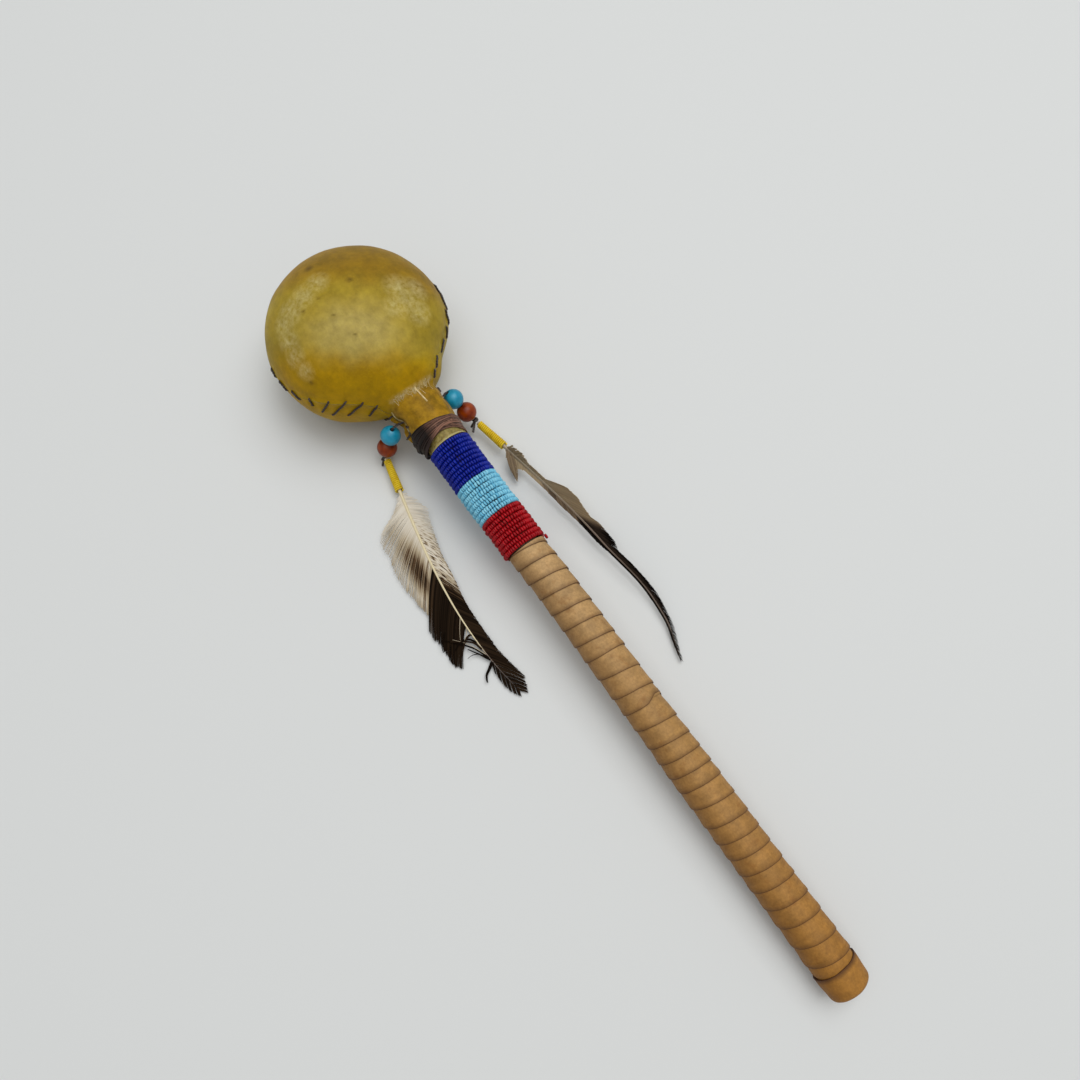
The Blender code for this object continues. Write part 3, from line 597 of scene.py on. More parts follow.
# Neck binding: waxed cord wound tight, with loose turns that fan out on the left
binding = {"radius": 0.29 * mm, "rise": 0.54 * mm, "steps": 40, "slant": 0.9, "wander": 0.4,
           "uneven": 0.3 * mm}
windings = [  # start and end (millimetres), turns, layer, how far it fans out at the left and right, phase
    (53.6, 59.4, 11, 0, -1.5, 0, 0.4), (53.7, 59, 10, 1, -1.3, 0.4, 2.0),
    (54.4, 57.8, 8, 2, 4.6, 0.5, 0.9), (54.6, 57.4, 7, 2.8, 3.2, 0.3, 0.2),
    (55.6, 57.0, 4, 3.2, 6.6, 0.2, 1.7), (53.9, 57.6, 8, 1.8, -0.8, 0.4, 1.1),
    (56.6, 58.4, 4, 0.8, 2.2, 3.6, 0.6), (54.2, 56.6, 6, 3.9, 2.6, 0.2, 2.6),
]
random.seed(4)
strands = []
for start, end, turns, layer, fanLeft, fanRight, phase in windings:
    path = []
    count = turns * binding["steps"]
    for i in range(count + 1):
        t = i / count
        turn = math.tau * turns * t + phase
        left = 0.5 - 0.5 * math.cos(turn)  # 0 at the right side, 1 at the left
        x = start + (end - start) * t + binding["slant"] * math.cos(turn)
        x += fanLeft * left ** 2 + fanRight * (1 - left) ** 4
        x += wobble(turn * 0.7, layer * 5, phase) * binding["wander"]
        guess = Vector((x, math.cos(turn) * 10, -math.sin(turn) * 10)) * mm
        heap = binding["rise"] * layer * (0.2 + 0.8 * left ** 2)  # heaped up at the left
        uneven = abs(wobble(turn, 3, layer)) * binding["uneven"]
        path.append(onHide(guess, binding["radius"] * 0.9 + heap + uneven)[0])
    strands += [path[k:k + binding["steps"] + 1] for k in range(0, count, binding["steps"])]
cord = tube("neckBinding", strands, binding["radius"], sides=2)
count = len(cord.data.vertices)
perStrand = count // len(strands)
tones = [random.random() for _ in strands]
giveValues(cord, "tone", [tones[min(len(tones) - 1, i // perStrand)] for i in range(count)])
# Waxed cord: brown and dull, near black on the left where it is heaped up
waxedCord, tree, shader = newMaterial("waxedCord", Roughness=0.5, Specular_IOR_Level=0.2)
coords = addNode(tree, "TexCoord")["Object"]
across = addNode(tree, "SeparateXYZ", links={0: coords})[1]
tone = addNode(tree, "Attribute", {"attribute_name": "tone"})["Fac"]
fibre = addNoise(tree, coords, 1.1 * mm, 3)
worn = addNode(tree, "Mix", links={0: 0.6, 2: fibre, 3: tone})[0]  # each strand its own brown
dark = addRamp(tree, worn, [(0.25, "#080504"), (0.7, "#281b16")])
brown = addRamp(tree, worn, [(0.25, "#27160f"), (0.7, "#87614f")])
onRight = addRange(tree, across, -6.5 * mm, -2 * mm)
mixed = addBlend(tree, onRight, dark, brown)
tree.links.new(mixed, shader.inputs["Base Color"])
finishPiece(cord, "neckBinding", "rattle", "waxed_cord", [waxedCord], "neck_binding", onHandle=True)

# Seed beads: one small ring, modelled once and strung along a winding
seed = {"hole": 0.66 * mm, "wall": 0.51 * mm, "length": 1.05 * mm, "perTurn": 48, "line": 8.55 * mm,
        "start": 64.5 * mm, "rowStep": 2.14 * mm, "aside": 0.5 * mm, "stray": (118.4, 9.3, 2.2)}
bpy.ops.mesh.primitive_torus_add(major_segments=9, minor_segments=6, major_radius=seed["hole"],
                                 minor_radius=seed["wall"])
pattern = bpy.context.object
pattern.scale.z = seed["length"] / (2 * seed["wall"])
applyPlace()
ringPoints = [v.co.copy() for v in pattern.data.vertices]
ringFaces = [p.vertices[:] for p in pattern.data.polygons]
bpy.data.objects.remove(pattern)


def addRing(ringPlaces, tone):  # one more bead in the band at hand
    first = len(points)
    points.extend(ringPlaces)
    faces.extend([first + k for k in face] for face in ringFaces)
    tones.extend([tone] * len(ringPlaces))


bands = [  # name, slot, node, rows, main and second colour
    ("cobaltBeads", "cobalt_glass", "cobalt_beads", 9, "#04147c", "#0c2496"),
    ("skyBeads", "sky_glass", "sky_beads", 8, "#68b6d4", "#8ccfe4"),
    ("redBeads", "red_glass", "red_beads", 8, "#8a020d", "#ac0a17"),
]
random.seed(11)
row = 0
for name, slot, node, rows, mainColour, secondColour in bands:
    points, faces, tones = [], [], []
    shifts = [random.random() for _ in range(rows)]  # no two rows line up
    for i in range(rows * seed["perTurn"]):
        ringCount, share = divmod(i / seed["perTurn"], 1)
        turn = math.tau * (row + (i + shifts[int(ringCount)]) / seed["perTurn"]) + 0.9
        step = ease(0.8, 1, share)  # each row is a ring, with a step underneath
        x = seed["start"] + seed["rowStep"] * (row + ringCount + step)
        x += (0.22 * wobble(turn * 0.35, 2, 0) + random.uniform(-0.04, 0.04)) * mm
        r = seed["line"] + (0.3 * wobble(turn * 0.6, 8, 0) + random.uniform(-0.1, 0.14)) * mm
        aside = seed["aside"] * (1 - ease(90, 106, x / mm))
        place = Vector((x, r * math.cos(turn) - aside, -r * math.sin(turn)))
        ahead = Vector((0, -r * math.sin(turn), -r * math.cos(turn))).normalized()
        ahead = (ahead + Vector([random.uniform(-0.16, 0.16) for _ in range(3)])).normalized()
        turned = ahead.to_track_quat("Z", "Y").to_matrix()
        size = random.uniform(0.93, 1.06)
        addRing([place + turned @ (p * size) for p in ringPoints], random.random())
    if name == "redBeads":  # one stray bead at the end of the thread
        addRing([Vector(seed["stray"]) * mm + p.xzy for p in ringPoints], 0.5)
    row += rows
    beads = meshPiece(name, points, faces)
    giveValues(beads, "tone", tones)
    shades = [(0, mainColour), (1, secondColour)]  # opaque glass, each bead a little different
    glass = painted(name + "Glass", "tone", shades, Roughness=0.35, Specular_IOR_Level=0.2)
    finishPiece(beads, name, "rattle", slot, [glass], node, onHandle=True, angle=80)
print("neck and beads")

# Leather wrap: a strip wound along the handle, each turn's cut edge over the next turn
wrapEdges = [113.5, 120.5, 127.0, 134.5, 142.0, 150.0, 157.5, 165.5, 172.0, 182.0, 190.5, 197.0, 205.5, 213.5,
             219.8, 226.5, 232.5, 241.0, 249.2, 255.7, 262.5, 269.5, 276.7, 284.6, 292.0, 301.0, 308.6, 316.0,
             324.0]
wrapProfile = [  # share of the turn, millimetres beside it, and radius
    (0, -1.7, 6.95), (0, -1.7, 7.8), (0, 0, 7.86), (0.25, 0, 8.02), (0.5, 0, 8.14), (0.75, 0, 8.24),
    (1, -1.9, 8.33), (1, -0.35, 8.38), (1, 0, 8.32), (1, 0, 7.92), (1, -1.9, 7.88), (1, -2.4, 7.0),
    (0.5, 0, 6.95), (0, 0, 6.95)]
wrapping = {"start": 117.5, "end": 311.2, "lastRadius": 8.4, "thick": 0.2, "thickAtButt": 0.3, "aside": 0.7,
            "steps": 72, "spliceBack": 2.3}  # millimetres, and steps to a turn
profile = meshPiece("leatherWrap", [(0, r * mm, 0) for share, past, r in wrapProfile], [])
profile.data.edges.add(len(wrapProfile))
for i, edge in enumerate(profile.data.edges):
    edge.vertices = (i, (i + 1) % len(wrapProfile))
turns = len(wrapEdges) - 1
modify(profile, "SCREW", axis="X", angle=-math.tau, screw_offset=1 * mm, iterations=turns,
       steps=wrapping["steps"], render_steps=wrapping["steps"], use_normal_calculate=True)
wrap = profile
edgeTable = list(enumerate(wrapEdges))
edgeShade = {7: 0.5, 8: 1, 9: 1}  # points of the profile darkened at the cut edge: the edge's own brown and painted shadow under the step
giveValues(wrap, "cut", [edgeShade.get(v.index % len(wrapProfile), 0) for v in wrap.data.vertices])
for vertex in wrap.data.vertices:
    step, i = divmod(vertex.index, len(wrapProfile))
    share, past, r = wrapProfile[i]
    turn = step / wrapping["steps"] - 1
    wander = 0.3 * wobble(turn * 3.1, 0, 1) + 0.12 * wobble(turn * 11, 4, 1)
    x = along(edgeTable, turn + share) + past + (wander if share == 1 and past > -1 else 0)
    if share == 1:  # the rounded end of a strip, where the next one was spliced in
        x -= wrapping["spliceBack"] * ease(9.74, 9.87, turn) * (1 - ease(9.93, 10.1, turn))
    x = min(wrapping["end"] + 0.05 * turn / turns, max(wrapping["start"] + 0.05 * turn, x))
    r = min(r, wrapping["lastRadius"] - 0.5 * ease(309.4, 310.4, x))
    if r > 7.79:  # the outside, a little thicker towards the butt
        r += wrapping["thick"] + wrapping["thickAtButt"] * (ease(205, 222, x) - ease(309, 311, x))
        r += 0.16 * wobble(x / 6, turn * 4, 9)
    if i in edgeShade:
        r += 0.14 * wobble(turn * 6, 1, 3)
    angle = math.tau * turn
    aside = wrapping["aside"] * ease(114, 140, x)  # the handle is not quite straight
    vertex.co = Vector((x, r * math.cos(angle) + aside, -r * math.sin(angle))) * mm
edit(wrap)
bpy.ops.mesh.select_all(action="DESELECT")
bpy.ops.mesh.select_non_manifold()
bpy.ops.mesh.edge_face_add()
objectMode()
tidyMesh(wrap)
# Tan leather: soft and smooth, pinker near the beads, golden near the butt and darker brown down the left
# flank, which is painted shade
leather, tree, shader = newMaterial("tanLeather", Roughness=0.62, Specular_IOR_Level=0.25)
coords = addNode(tree, "TexCoord")["Object"]
spot = addNode(tree, "SeparateXYZ", links={0: coords})
share = addRange(tree, spot[0], 115 * mm, 310 * mm)
tans = [(0, "#b39163"), (1, "#9a6b2c"), (0.45, "#a37c48")]
base = addRamp(tree, share, tans)
clouds = addNoise(tree, coords, 3.8 * mm, 6, 0.66)
pores = addNoise(tree, coords, 0.9 * mm, 3, 0.7)  # real pores are finer: these are drawn to show
stains = addNoise(tree, coords, 5 * mm, 5, 0.62)
streaks = addStreaks(tree, coords, 2.381 * mm, 11.11 * mm)  # rubbed, along the strip
rubbed = addNode(tree, "Mix", links={0: 0.6, 2: streaks, 3: clouds})[0]
mottle = addRange(tree, rubbed, 0.38, 0.62, 0.8, 1.17)
grainy = addRange(tree, pores, 0.3, 0.7, 0.86, 1.14)
value = addNode(tree, "Math", {"operation": "MULTIPLY"}, {0: mottle, 1: grainy})[0]
toned = addNode(tree, "HueSaturation", links={"Value": value, "Color": base})[0]
stained = addRange(tree, stains, 0.56, 0.72, last=0.55)
# painted shade: the left flank is browner and darker
shadedFlank = addRange(tree, spot[1], -1 * mm, -6 * mm, last=0.36)
# darker at each cut edge: the edge's own brown and painted shadow under the step
cut = addNode(tree, "Attribute", {"attribute_name": "cut"})["Fac"]
for amount, over in ((stained, "#845522"), (shadedFlank, "#663a00"), (cut, "#4a2b12")):
    toned = addBlend(tree, amount, toned, colour(over))
tree.links.new(toned, shader.inputs["Base Color"])
fine = addNoise(tree, coords, 1.1 * mm, 3)
bump = addNode(tree, "Bump", links={"Height": fine, "Strength": 0.2, "Distance": 0.2 * mm})[0]
tree.links.new(bump, shader.inputs["Normal"])
finishPiece(wrap, "leatherWrap", "rattle", "tan_leather", [leather], "leather_wrap", onHandle=True, angle=40)

# Butt cap: a leather cup drawn over the end, its rim lapping the last turn
cap = {"start": 310.2 * mm, "end": 321.0 * mm, "radius": 8.6 * mm, "wall": 0.62 * mm, "rounding": 2.6 * mm,
       "inset": 2.2 * mm, "narrow": 0.5, "uneven": 0.2, "oval": 0.045, "aside": 0.6, "rimWave": 0.25}
bpy.ops.mesh.primitive_cylinder_add(
    vertices=72, radius=cap["radius"], depth=cap["end"] - cap["start"],
    location=((cap["start"] + cap["end"]) / 2, 0, 0), rotation=(0, math.pi / 2, 0))
cup = bpy.context.object
applyPlace()
edit(cup, lambda f: f.normal.x < -0.9, "polygons")
bpy.ops.mesh.delete(type="ONLY_FACE")
objectMode()
edit(cup, lambda f: f.normal.x > 0.9, "polygons")
bpy.ops.mesh.bevel(offset=cap["rounding"], segments=6, affect="EDGES")
objectMode()
edit(cup, lambda f: f.normal.x > 0.999, "polygons")
for _ in range(2):
    bpy.ops.mesh.inset(thickness=cap["inset"])
objectMode()
edit(cup, lambda f: abs(f.normal.x) < 0.3, "polygons")
bpy.ops.mesh.subdivide(number_cuts=3)
objectMode()
tidyMesh(cup)
modify(cup, "SOLIDIFY", thickness=cap["wall"], offset=-1)
for vertex in cup.data.vertices:
    q = vertex.co / mm
    out = Vector((0, q.y, q.z)).normalized() if q.yz.length > 1 else Vector()
    narrow = -cap["narrow"] * ease(312, 320, q.x)
    vertex.co += out * (cap["uneven"] * noise.noise(q / 5) + narrow) * mm
    vertex.co.y += (cap["oval"] * q.y + cap["aside"]) * mm
    ragged = cap["rimWave"] * noise.noise(q / 4 + Vector((5, 5, 5)))
    vertex.co.x += ragged * mm * (1 - ease(311, 312, q.x))
giveValues(cup, "cut", [1 - ease(310.6, 311.0, v.co.x / mm) for v in cup.data.vertices])
finishPiece(cup, "buttCap", "rattle", "tan_leather", [leather], "butt_cap", onHandle=True, angle=40)
print("handle")

# Drops: thong, beads, knot, wrapped quill and feather on each side

# Glazed ceramic: bright and a little cloudy, blue and brown-red
blues, reds = [(0.3, "#067896"), (0.7, "#2795b4")], [(0.3, "#661d02"), (0.7, "#943c08")]
turquoise = clouded("turquoiseGlaze", 3 * mm, 4, blues, Roughness=0.3, Specular_IOR_Level=0.35)
russet = clouded("russetGlaze", 3 * mm, 4, reds, Roughness=0.3, Specular_IOR_Level=0.22)
# Cotton thread: satin, wound tight
yellows = [(0.2, "#c7a209"), (0.8, "#e6ca2e")]
thread = clouded("yellowThread", 2.5 * mm, 3, yellows, Roughness=0.5, Specular_IOR_Level=0.25)
# Quill: smooth horn, cream to brown
creams = [(0, "#d9cba4"), (1, "#3a2d24"), (0.5, "#7d6b5c")]
quill = painted("hornQuill", "tint", creams, Roughness=0.4)
# Barbs: dusty, without a shine, white or grey-brown to near black
whites = [(0, "#dad2c2"), (1, "#130e0a"), (0.35, "#ab9c82"), (0.65, "#5a4531")]
greys = [(0, "#b9a583"), (1, "#15110f"), (0.4, "#85725b"), (0.7, "#4a3d33")]
paleBarbs = painted("paleBarbs", "tint", whites, Roughness=1, Specular_IOR_Level=0)
darkBarbs = painted("darkBarbs", "tint", greys, Roughness=1, Specular_IOR_Level=0)

# Outlines and routes are millimetres along the shaft and across it, angles and spreads are degrees
drops = {
    "left": {"bend": (-1.0, -5.2, -1.3), "tail": (0.3, -0.59, -0.74), "yaw": -12.6, "dip": 1.9, "length": 121,
             "sideBend": 16.2, "droop": 0, "side": -1,
             "slot": "pale_feather", "finish": paleBarbs, "shaftEnd": 0.94, "bareTip": 4, "barbWidth": 0.2,
             "ragged": 0.96,
             "wide": [(19, 1.1), (23.2, 3.8), (26.5, 6.5), (29.2, 10.4), (31, 13.2), (35, 16), (39.2, 15.8),
                      (45.5, 14.9), (50.8, 15.5), (58, 14.4), (66.5, 12.3), (73.2, 10.3), (78.8, 13),
                      (82.5, 13.2), (85.8, 11.8), (91, 12.6), (95.8, 12.5), (98, 10.6), (100, 8), (102, 0.5),
                      (106, 2.2), (111.5, 2.9), (116, 2.6), (121, 0.6)],
             "narrow": [(19, 1.2), (24, 5.1), (30.2, 8.3), (35.5, 7.3), (43.5, 6.5), (51.5, 5.8), (58.5, 6.2),
                        (66, 6), (74, 5.3), (91, 5.4), (99, 5.1), (108.5, 5.7), (114.5, 6.2), (116, 4.6),
                        (118, 3.8), (121, 0.6)],
             "angles": [(19, 74), (30, 52), (45, 31), (60, 29), (75, 33), (83, 36), (100, 27), (121, 26)],
             "spread": [0, 0], "sway": 0,
             "torn": (83.5, 101),  # few barbs are left on the wide side here
             "strands": [  # broken barbs: places along and across, half width and tint
                 ([(100, -0.3), (94.8, -2.2), (90.8, -5.5), (86, -11)], 0.45, 1),
                 ([(95.5, -0.3), (91.5, -1.6), (89, -5.8), (87.5, -9.2)], 0.5, 0.95),
                 ([(100.8, -0.3), (97, -2.5), (93.2, -5.1)], 0.45, 1),
                 ([(101, -0.3), (97.2, -2.3), (96.2, -5.1), (96.8, -7.5)], 0.28, 1),
                 ([(102, -0.3), (104, -2.9), (106.2, -5.9), (109, -7.7)], 0.75, 1),
                 ([(92, -0.3), (89.4, -2.4), (89.5, -6), (91.5, -9.6)], 0.6, 1),
                 ([(88, -0.3), (88.6, -2.6), (91, -5.4), (95, -8.8)], 0.6, 0.95),
                 ([(80, -0.4), (84.8, -3.4), (88.5, -5.4)], 0.13, 0.3),
                 ([(84.5, -0.3), (87.2, -1.8), (89.6, -4.4)], 0.12, 0.35),
                 ([(98, -0.3), (94.4, -2), (90.4, -4.4), (87, -8)], 0.12, 0.3),
                 ([(83, -9), (87.5, -13), (90.5, -14.2)], 0.3, 1),
                 ([(89, -10), (93.5, -13), (96.5, -14)], 0.3, 1)]},
    "right": {"bend": (-2.0, 2.8, -3.4), "tail": (0.7, -0.7, -0.14), "yaw": 10.6, "dip": -0.6,
              "length": 135.8, "sideBend": -16.7, "droop": 6.2, "side": 1,
              "slot": "dark_feather", "finish": darkBarbs, "shaftEnd": 0.985, "bareTip": 1, "barbWidth": 0.42,
              "ragged": 0.98,
              "wide": [(19, 3), (21, 5), (27, 6.4), (32, 3.4), (43, 3), (47.5, 8.2), (53, 9.8), (59, 9.8),
                       (63.5, 7.5), (68, 6.2), (72.5, 7.6), (76.5, 7), (82, 6.4), (85, 4), (91.5, 4.4),
                       (102, 3.6), (109, 3), (115, 2.2), (122, 1.4), (128, 0.9), (135.8, 0.3)],
              "narrow": [(19, 1.4), (23, 3.8), (28, 4.2), (31.5, 2.2), (41, 2), (55, 2.5), (67.5, 2),
                         (75, 2.2), (82, 1.4), (100, 1.3), (120, 1.1), (128, 0.8), (135.8, 0.2)],
              "angles": [(19, 62), (32, 40), (50, 30), (134, 20)], "spread": [80, 30], "sway": 2.6,
              "torn": None, "strands": [],
              "tuft": {"line": [(73.5, 21.8, 7.6), (86.8, 17.0, 3.6)], "width": 1.5, "barbs": 70}},
}
bead = {"radius": 4.35 * mm, "bore": 0.75 * mm, "uneven": 0.015}
thongCord = {"ply": 0.26 * mm, "lay": 2.6 * mm, "radius": 0.33 * mm, "arch": 0.8 * mm}
knotCord = {"width": 0.36, "height": 0.42, "radius": 0.5 * mm, "tails": [(0, 5.0), (0.4, 3.0)]}
quillWrap = {"start": 2.8, "length": 15.0, "turns": 17, "steps": 20, "radius": 1.28, "swell": 0.3,
             "thread": 0.43 * mm}
feather = {"shaftStart": 1.75, "straight": 18, "vaneStart": 19, "steps": 7, "thickness": 0.09 * mm,
           "tableGap": 0.2 * mm}


def dropBead(label, kind, finish):
    joint = joints[f"{label}_{kind}_spin"]
    bpy.ops.mesh.primitive_uv_sphere_add(segments=64, ring_count=40, radius=bead["radius"])
    obj = bpy.context.object
    edit(obj, lambda v: v.co.xy.length < bead["bore"])
    bpy.ops.mesh.delete(type="VERT")
    bpy.ops.mesh.select_all(action="DESELECT")
    bpy.ops.mesh.select_non_manifold()
    bpy.ops.mesh.bridge_edge_loops()
    objectMode()
    for vertex in obj.data.vertices:  # hand-rolled, not quite round
        vertex.co *= 1 + bead["uneven"] * noise.noise(vertex.co / (4 * mm))
    obj.rotation_euler = Vector(joint["axis"]).to_track_quat("Z", "Y").to_euler()
    obj.location = joint["pos_m"]
    tidyMesh(obj)
    name = f"{label}{kind.title()}Bead"
    finishPiece(obj, name, f"{label}_{kind}", f"{kind}_ceramic", [finish], f"{label}_{kind}_bead")


def barbTone(pale, wide, s, v, shade):  # 0 pale to 1 dark, by place along the shaft and share of the barb
    if not pale:  # grey-brown, then dark
        tone = 0.14 + 0.68 * ease(59, 68, s) + 0.12 * ease(90, 120, s) + 0.22 * (shade - 0.5)
        return tone + (0.25 * ease(0.5, 1, v) * ease(54, 64, s) if wide else 0.42 * ease(36, 46, s))
    if wide:  # a brown stripe down the middle, then near black
        dark = ease(49, 57, s + 5 * (shade - 0.5)) * (0.94 + 0.06 * shade)
        stripe = hump(v, 0.75 - 0.25 * ease(24, 40, s), 0.28) * (0.25 + 0.5 * ease(26, 48, s))
        stripe *= ease(21, 27, s) * (0.7 + 0.6 * shade)
        return max(dark, stripe + 0.3 * ease(0.92, 1, v) * ease(24, 32, s) + 0.08 * shade)
    dark = ease(53, 66, s + 7 * (shade - 0.5)) * (0.92 + 0.08 * shade)
    fleck = ease(0.02, 0.35, wobble(s * 1.5, v * 6, 3)) * ease(24, 46, s)
    fleck *= 0.6 + 0.3 * ease(40, 58, s)
    return max(dark, 0.12 * shade + fleck + 0.25 * ease(0.9, 1, v) * ease(26, 36, s))


for label, drop in drops.items():
    side, length, pale = drop["side"], drop["length"], drop["side"] < 0
    tied = Vector(joints[f"{label}_drop_swing"]["pos_m"])
    knot = Vector(joints[f"{label}_feather_turn"]["pos_m"])
    up = Vector(joints[f"{label}_russet_spin"]["axis"])
    blue = Vector(joints[f"{label}_turquoise_spin"]["pos_m"])
    dropBead(label, "turquoise", turquoise)
    dropBead(label, "russet", russet)

    # the thong, from its tie through both beads to the knot
    bend = tied + Vector(drop["bend"]) * mm
    arch = tied.lerp(bend, 0.5) + Vector((0, 0, thongCord["arch"]))
    path = smoothPath([tied, arch, bend, blue + up * 4.4 * mm, blue, knot + up * 1.6 * mm, knot], 0.4 * mm)
    plies = twisted(path, thongCord["ply"], 2, thongCord["lay"])
    thong = tube(f"{label}Thong", plies, thongCord["radius"], sides=1)
    finishPiece(thong, f"{label}Thong", f"{label}_drop", "waxed_sinew", [sinew], f"{label}_thong")

    # an overhand knot with two tails
    loops = []
    for t in evenSteps(0, math.tau, 59):
        sideways, outward = math.sin(t) + 2 * math.sin(2 * t), math.cos(t) - 2 * math.cos(2 * t)
        loops.append(Vector((sideways * knotCord["width"], outward * knotCord["width"],
                             -math.sin(3 * t) * knotCord["height"])) * mm)
    turned = up.to_track_quat("Z", "Y").to_matrix()
    knotPaths = [[knot + turned @ p for p in loops]]
    for spread, reach in knotCord["tails"]:
        tail = (Vector(drop["tail"]) + Vector((-spread, 0, -spread * 0.3))).normalized()
        start = knot + tail * 0.6 * mm
        middle = start + tail * reach * 0.5 * mm + Vector((0, 0, 0.3 * mm))
        knotPaths.append(smoothPath([start, middle, start + tail * reach * mm], 0.5 * mm))
    knotPiece = tube(f"{label}Knot", knotPaths, knotCord["radius"], sides=1)
    finishPiece(knotPiece, f"{label}Knot", f"{label}_drop", "waxed_sinew", [sinew], f"{label}_knot")

    yaw, dip = (math.radians(drop[angle]) for angle in ("yaw", "dip"))
    place = Matrix.Translation(knot) @ Matrix.Rotation(yaw, 4, "Z") @ Matrix.Rotation(dip, 4, "Y")

    def spine(s):  # the shaft's line, millimetres in the feather's own frame
        bent = max(0, (s - feather["straight"]) / (length - feather["straight"]))
        sway = drop["sway"] * ease(0.57, 0.8, s / length) * (1 - ease(0.87, 1, s / length))
        return Vector((s, drop["sideBend"] * bent ** 3 + sway, -drop["droop"] * bent ** 2))

    # thread wound round the quill
    threadPath = []
    count = quillWrap["turns"] * quillWrap["steps"]
    for i in range(count + 1):
        t = i / count
        turn = math.tau * quillWrap["turns"] * t
        r = quillWrap["radius"] + quillWrap["swell"] * t + 0.06 * wobble(turn * 0.3, side, 0)
        x = quillWrap["start"] + quillWrap["length"] * t
        threadPath.append(place @ (Vector((x, r * math.cos(turn), r * math.sin(turn))) * mm))
    wound = tube(f"{label}QuillWrap", [threadPath], quillWrap["thread"], sides=2)
    finishPiece(wound, f"{label}QuillWrap", f"{label}_plume", "yellow_thread", [thread],
                f"{label}_quill_wrap")

    def shaftRadius(t):  # millimetres, thinner to the tip
        return 0.95 - (0.75 * t ** 0.8 if pale else 0.6 * t + 0.2 * ease(0.88, 1, t))

    shaftPlaces = evenSteps(feather["shaftStart"], length * drop["shaftEnd"], 60)
    shaftPath = [place @ (spine(s) * mm) for s in shaftPlaces]
    shaft = tube(f"{label}Shaft", [shaftPath], 1 * mm, taper=shaftRadius)
    back = place.inverted()
    shares = [(back @ v.co).x / mm / length for v in shaft.data.vertices]
    giveValues(shaft, "tint", [ease(0.72, 0.9, t) if pale else 0.35 + 0.4 * ease(0.3, 0.9, t)
                               for t in shares])
    finishPiece(shaft, f"{label}Shaft", f"{label}_plume", drop["slot"], [quill])

    # barbs along both vanes, then broken strands and the tuft
    random.seed(21 + side)
    points, faces, tints = [], [], []

    def ribbon(middles, across, widths, tones):  # one barb
        first = len(points)
        for k, (middle, half, tone) in enumerate(zip(middles, widths, tones)):
            points.extend([middle - across * half, middle + across * half])
            tints.extend([min(1, max(0, tone))] * 2)
            if k:
                faces.append((first + 2 * k - 2, first + 2 * k - 1, first + 2 * k + 1, first + 2 * k))

    for vane, outline, spread in zip((side, -side), ("wide", "narrow"), drop["spread"]):
        roll = Matrix.Rotation(math.radians(spread), 3, "X")
        s = feather["vaneStart"]
        while s < length - drop["bareTip"]:
            s += random.uniform(0.3, 0.42)
            if vane == side and drop["torn"] and drop["torn"][0] < s < drop["torn"][1]:
                continue
            if pale and s > 101 and (s + vane) % 2.9 < 0.75:  # the tip has come apart
                continue
            gather = wobble(s * 0.33, vane * 3, side)  # barbs cling in clumps
            loose = (3 if s < 50 else 1.2) * gather if pale else 1.2 * gather * (1 - ease(84, 100, s))
            slant = math.radians(along(drop["angles"], s) + loose + random.uniform(-0.6, 0.6))
            reach = 0.4
            while reach < along(drop[outline], s + reach / math.tan(slant)):  # out to the vane's outline
                reach += 0.2
            reach *= random.uniform(drop["ragged"], 1.01)
            lift = random.uniform(-0.08, 0.08)
            shade = random.random()
            ahead = (spine(s + 0.5) - spine(s - 0.5)).normalized()
            across = Vector((-ahead.y, ahead.x, 0)) * vane
            middles, widths, tones = [], [], []
            for k in range(feather["steps"] + 1):
                v = k / feather["steps"]
                forward = reach / math.tan(slant) * (0.75 * v + 0.25 * v * v)
                downy = (1 - ease(feather["vaneStart"], 34, s)) * v * 0.9
                wave = Vector([wobble(s, v * 3, offset) for offset in (vane, 9, 5)]) * downy
                curl = -0.9 * (v * reach / 12) ** 2 + lift * v + 0.12
                local = ahead * forward + across * reach * v
                middles.append(place @ ((spine(s) + roll @ (Vector((local.x, local.y, curl)) + wave)) * mm))
                widths.append((drop["barbWidth"] + 0.26 * ease(28, 50, s)) * (1 - 0.45 * v ** 2) * mm)
                tones.append(barbTone(pale, vane == side, s, v, shade))
            ribbon(middles, place.to_3x3() @ roll @ ahead, widths, tones)
    for route, half, tone in drop["strands"]:
        route = smoothPath([spine(s) + Vector((0, across, 0.5)) for s, across in route], 1)
        count = len(route)
        flow = place.to_3x3() @ (route[-1] - route[0])
        widths = [half * mm * (1 - 0.6 * k / count) for k in range(count)]
        ribbon([place @ (p * mm) for p in route], Vector((-flow.y, flow.x, 0)).normalized(), widths,
               [tone] * count)
    for _ in range(drop["tuft"]["barbs"] if "tuft" in drop else 0):  # the downy tuft at the base
        begin, end = (Vector(p) * mm for p in drop["tuft"]["line"])
        spread = Vector([random.uniform(-1, 1) for _ in range(3)]) * drop["tuft"]["width"] * mm
        start, stop = random.uniform(0, 0.25), random.uniform(0.6, 1)
        route = evenSteps(start, stop, 5)
        middles = [begin.lerp(end, t) + spread * math.sin(math.pi * min(1, 0.12 + 0.88 * t)) ** 0.8
                   for t in route]
        widths = [0.16 * mm * (1 - 0.12 * k) for k in range(6)]
        ribbon(middles, Vector((0.6, 0.8, 0)), widths, [random.uniform(0.2, 0.5)] * 6)
    barbs = meshPiece(f"{label}Barbs", points, faces)
    giveValues(barbs, "tint", tints)
    modify(barbs, "SOLIDIFY", thickness=feather["thickness"], offset=0)
    for vertex in barbs.data.vertices:  # none goes through the table
        vertex.co.z = max(vertex.co.z, feather["tableGap"])
    finishPiece(barbs, f"{label}Feather", f"{label}_plume", drop["slot"], [drop["finish"]],
                f"{label}_feather")
print("drops")

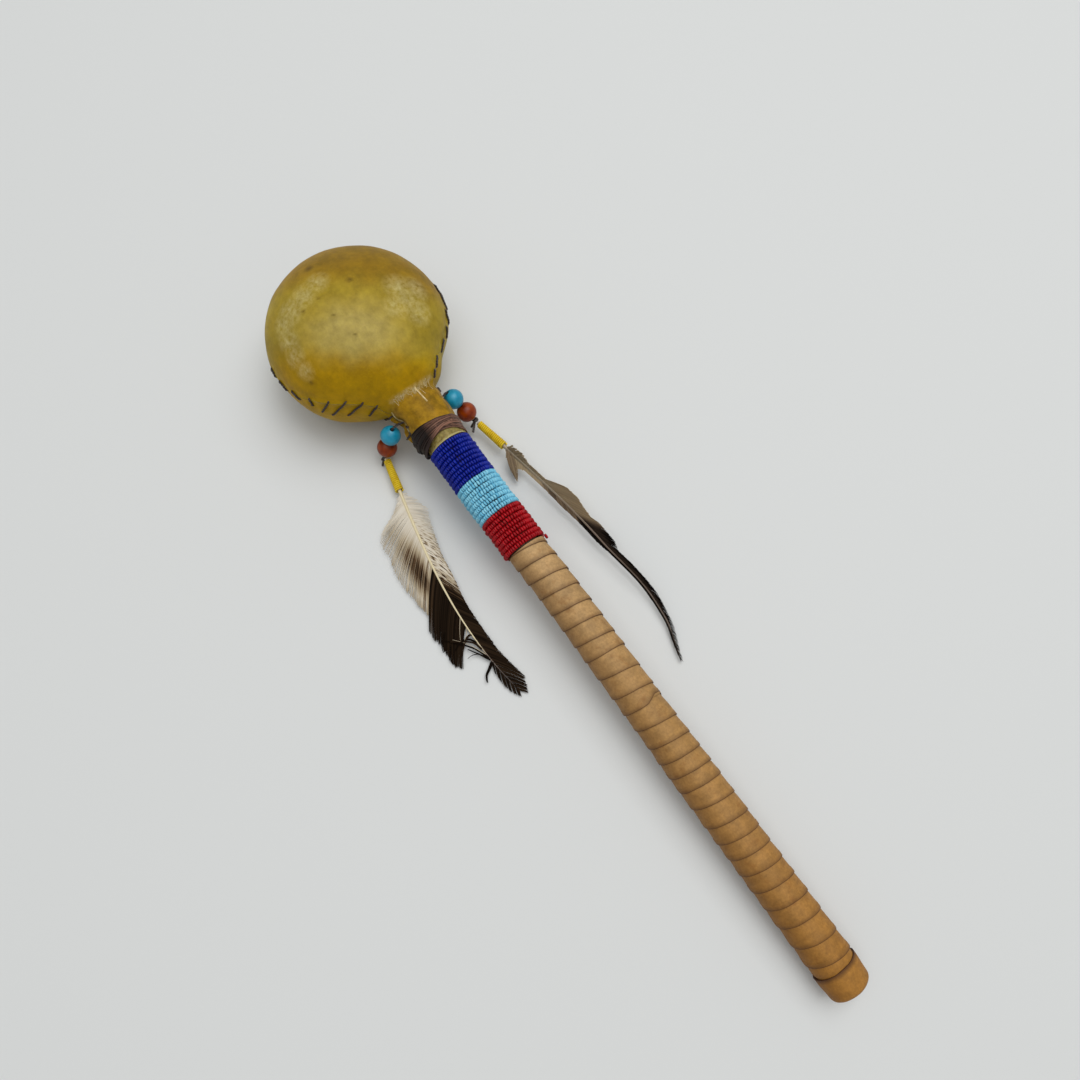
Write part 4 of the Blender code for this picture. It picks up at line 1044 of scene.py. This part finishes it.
# Stick and pebbles keep their CAD shape
# River stone: dull and grey
stone = clouded("greyStone", 2.5 * mm, 4, [(0.3, "#77736b"), (0.7, "#a8a398")], Roughness=0.7)
gapShadeWood, tree, shader = newMaterial("plainWood", Roughness=0.6)  # a stick stained dark, grained along its length; between the seed beads its dark stain is painted shade
coords = addNode(tree, "TexCoord")["Object"]
rings = addStreaks(tree, coords, 33.33 * mm, 1.667 * mm)
browns = addRamp(tree, rings, [(0.3, "#3b2a1c"), (0.7, "#5d452e")])
tree.links.new(browns, shader.inputs["Base Color"])
for node, finish in [("handle_stick", gapShadeWood)] + [(f"pebble_{i}", stone) for i in range(1, 8)]:
    held = frame["nodes"][node]
    for materialSlot in held.material_slots:
        materialSlot.material = finish
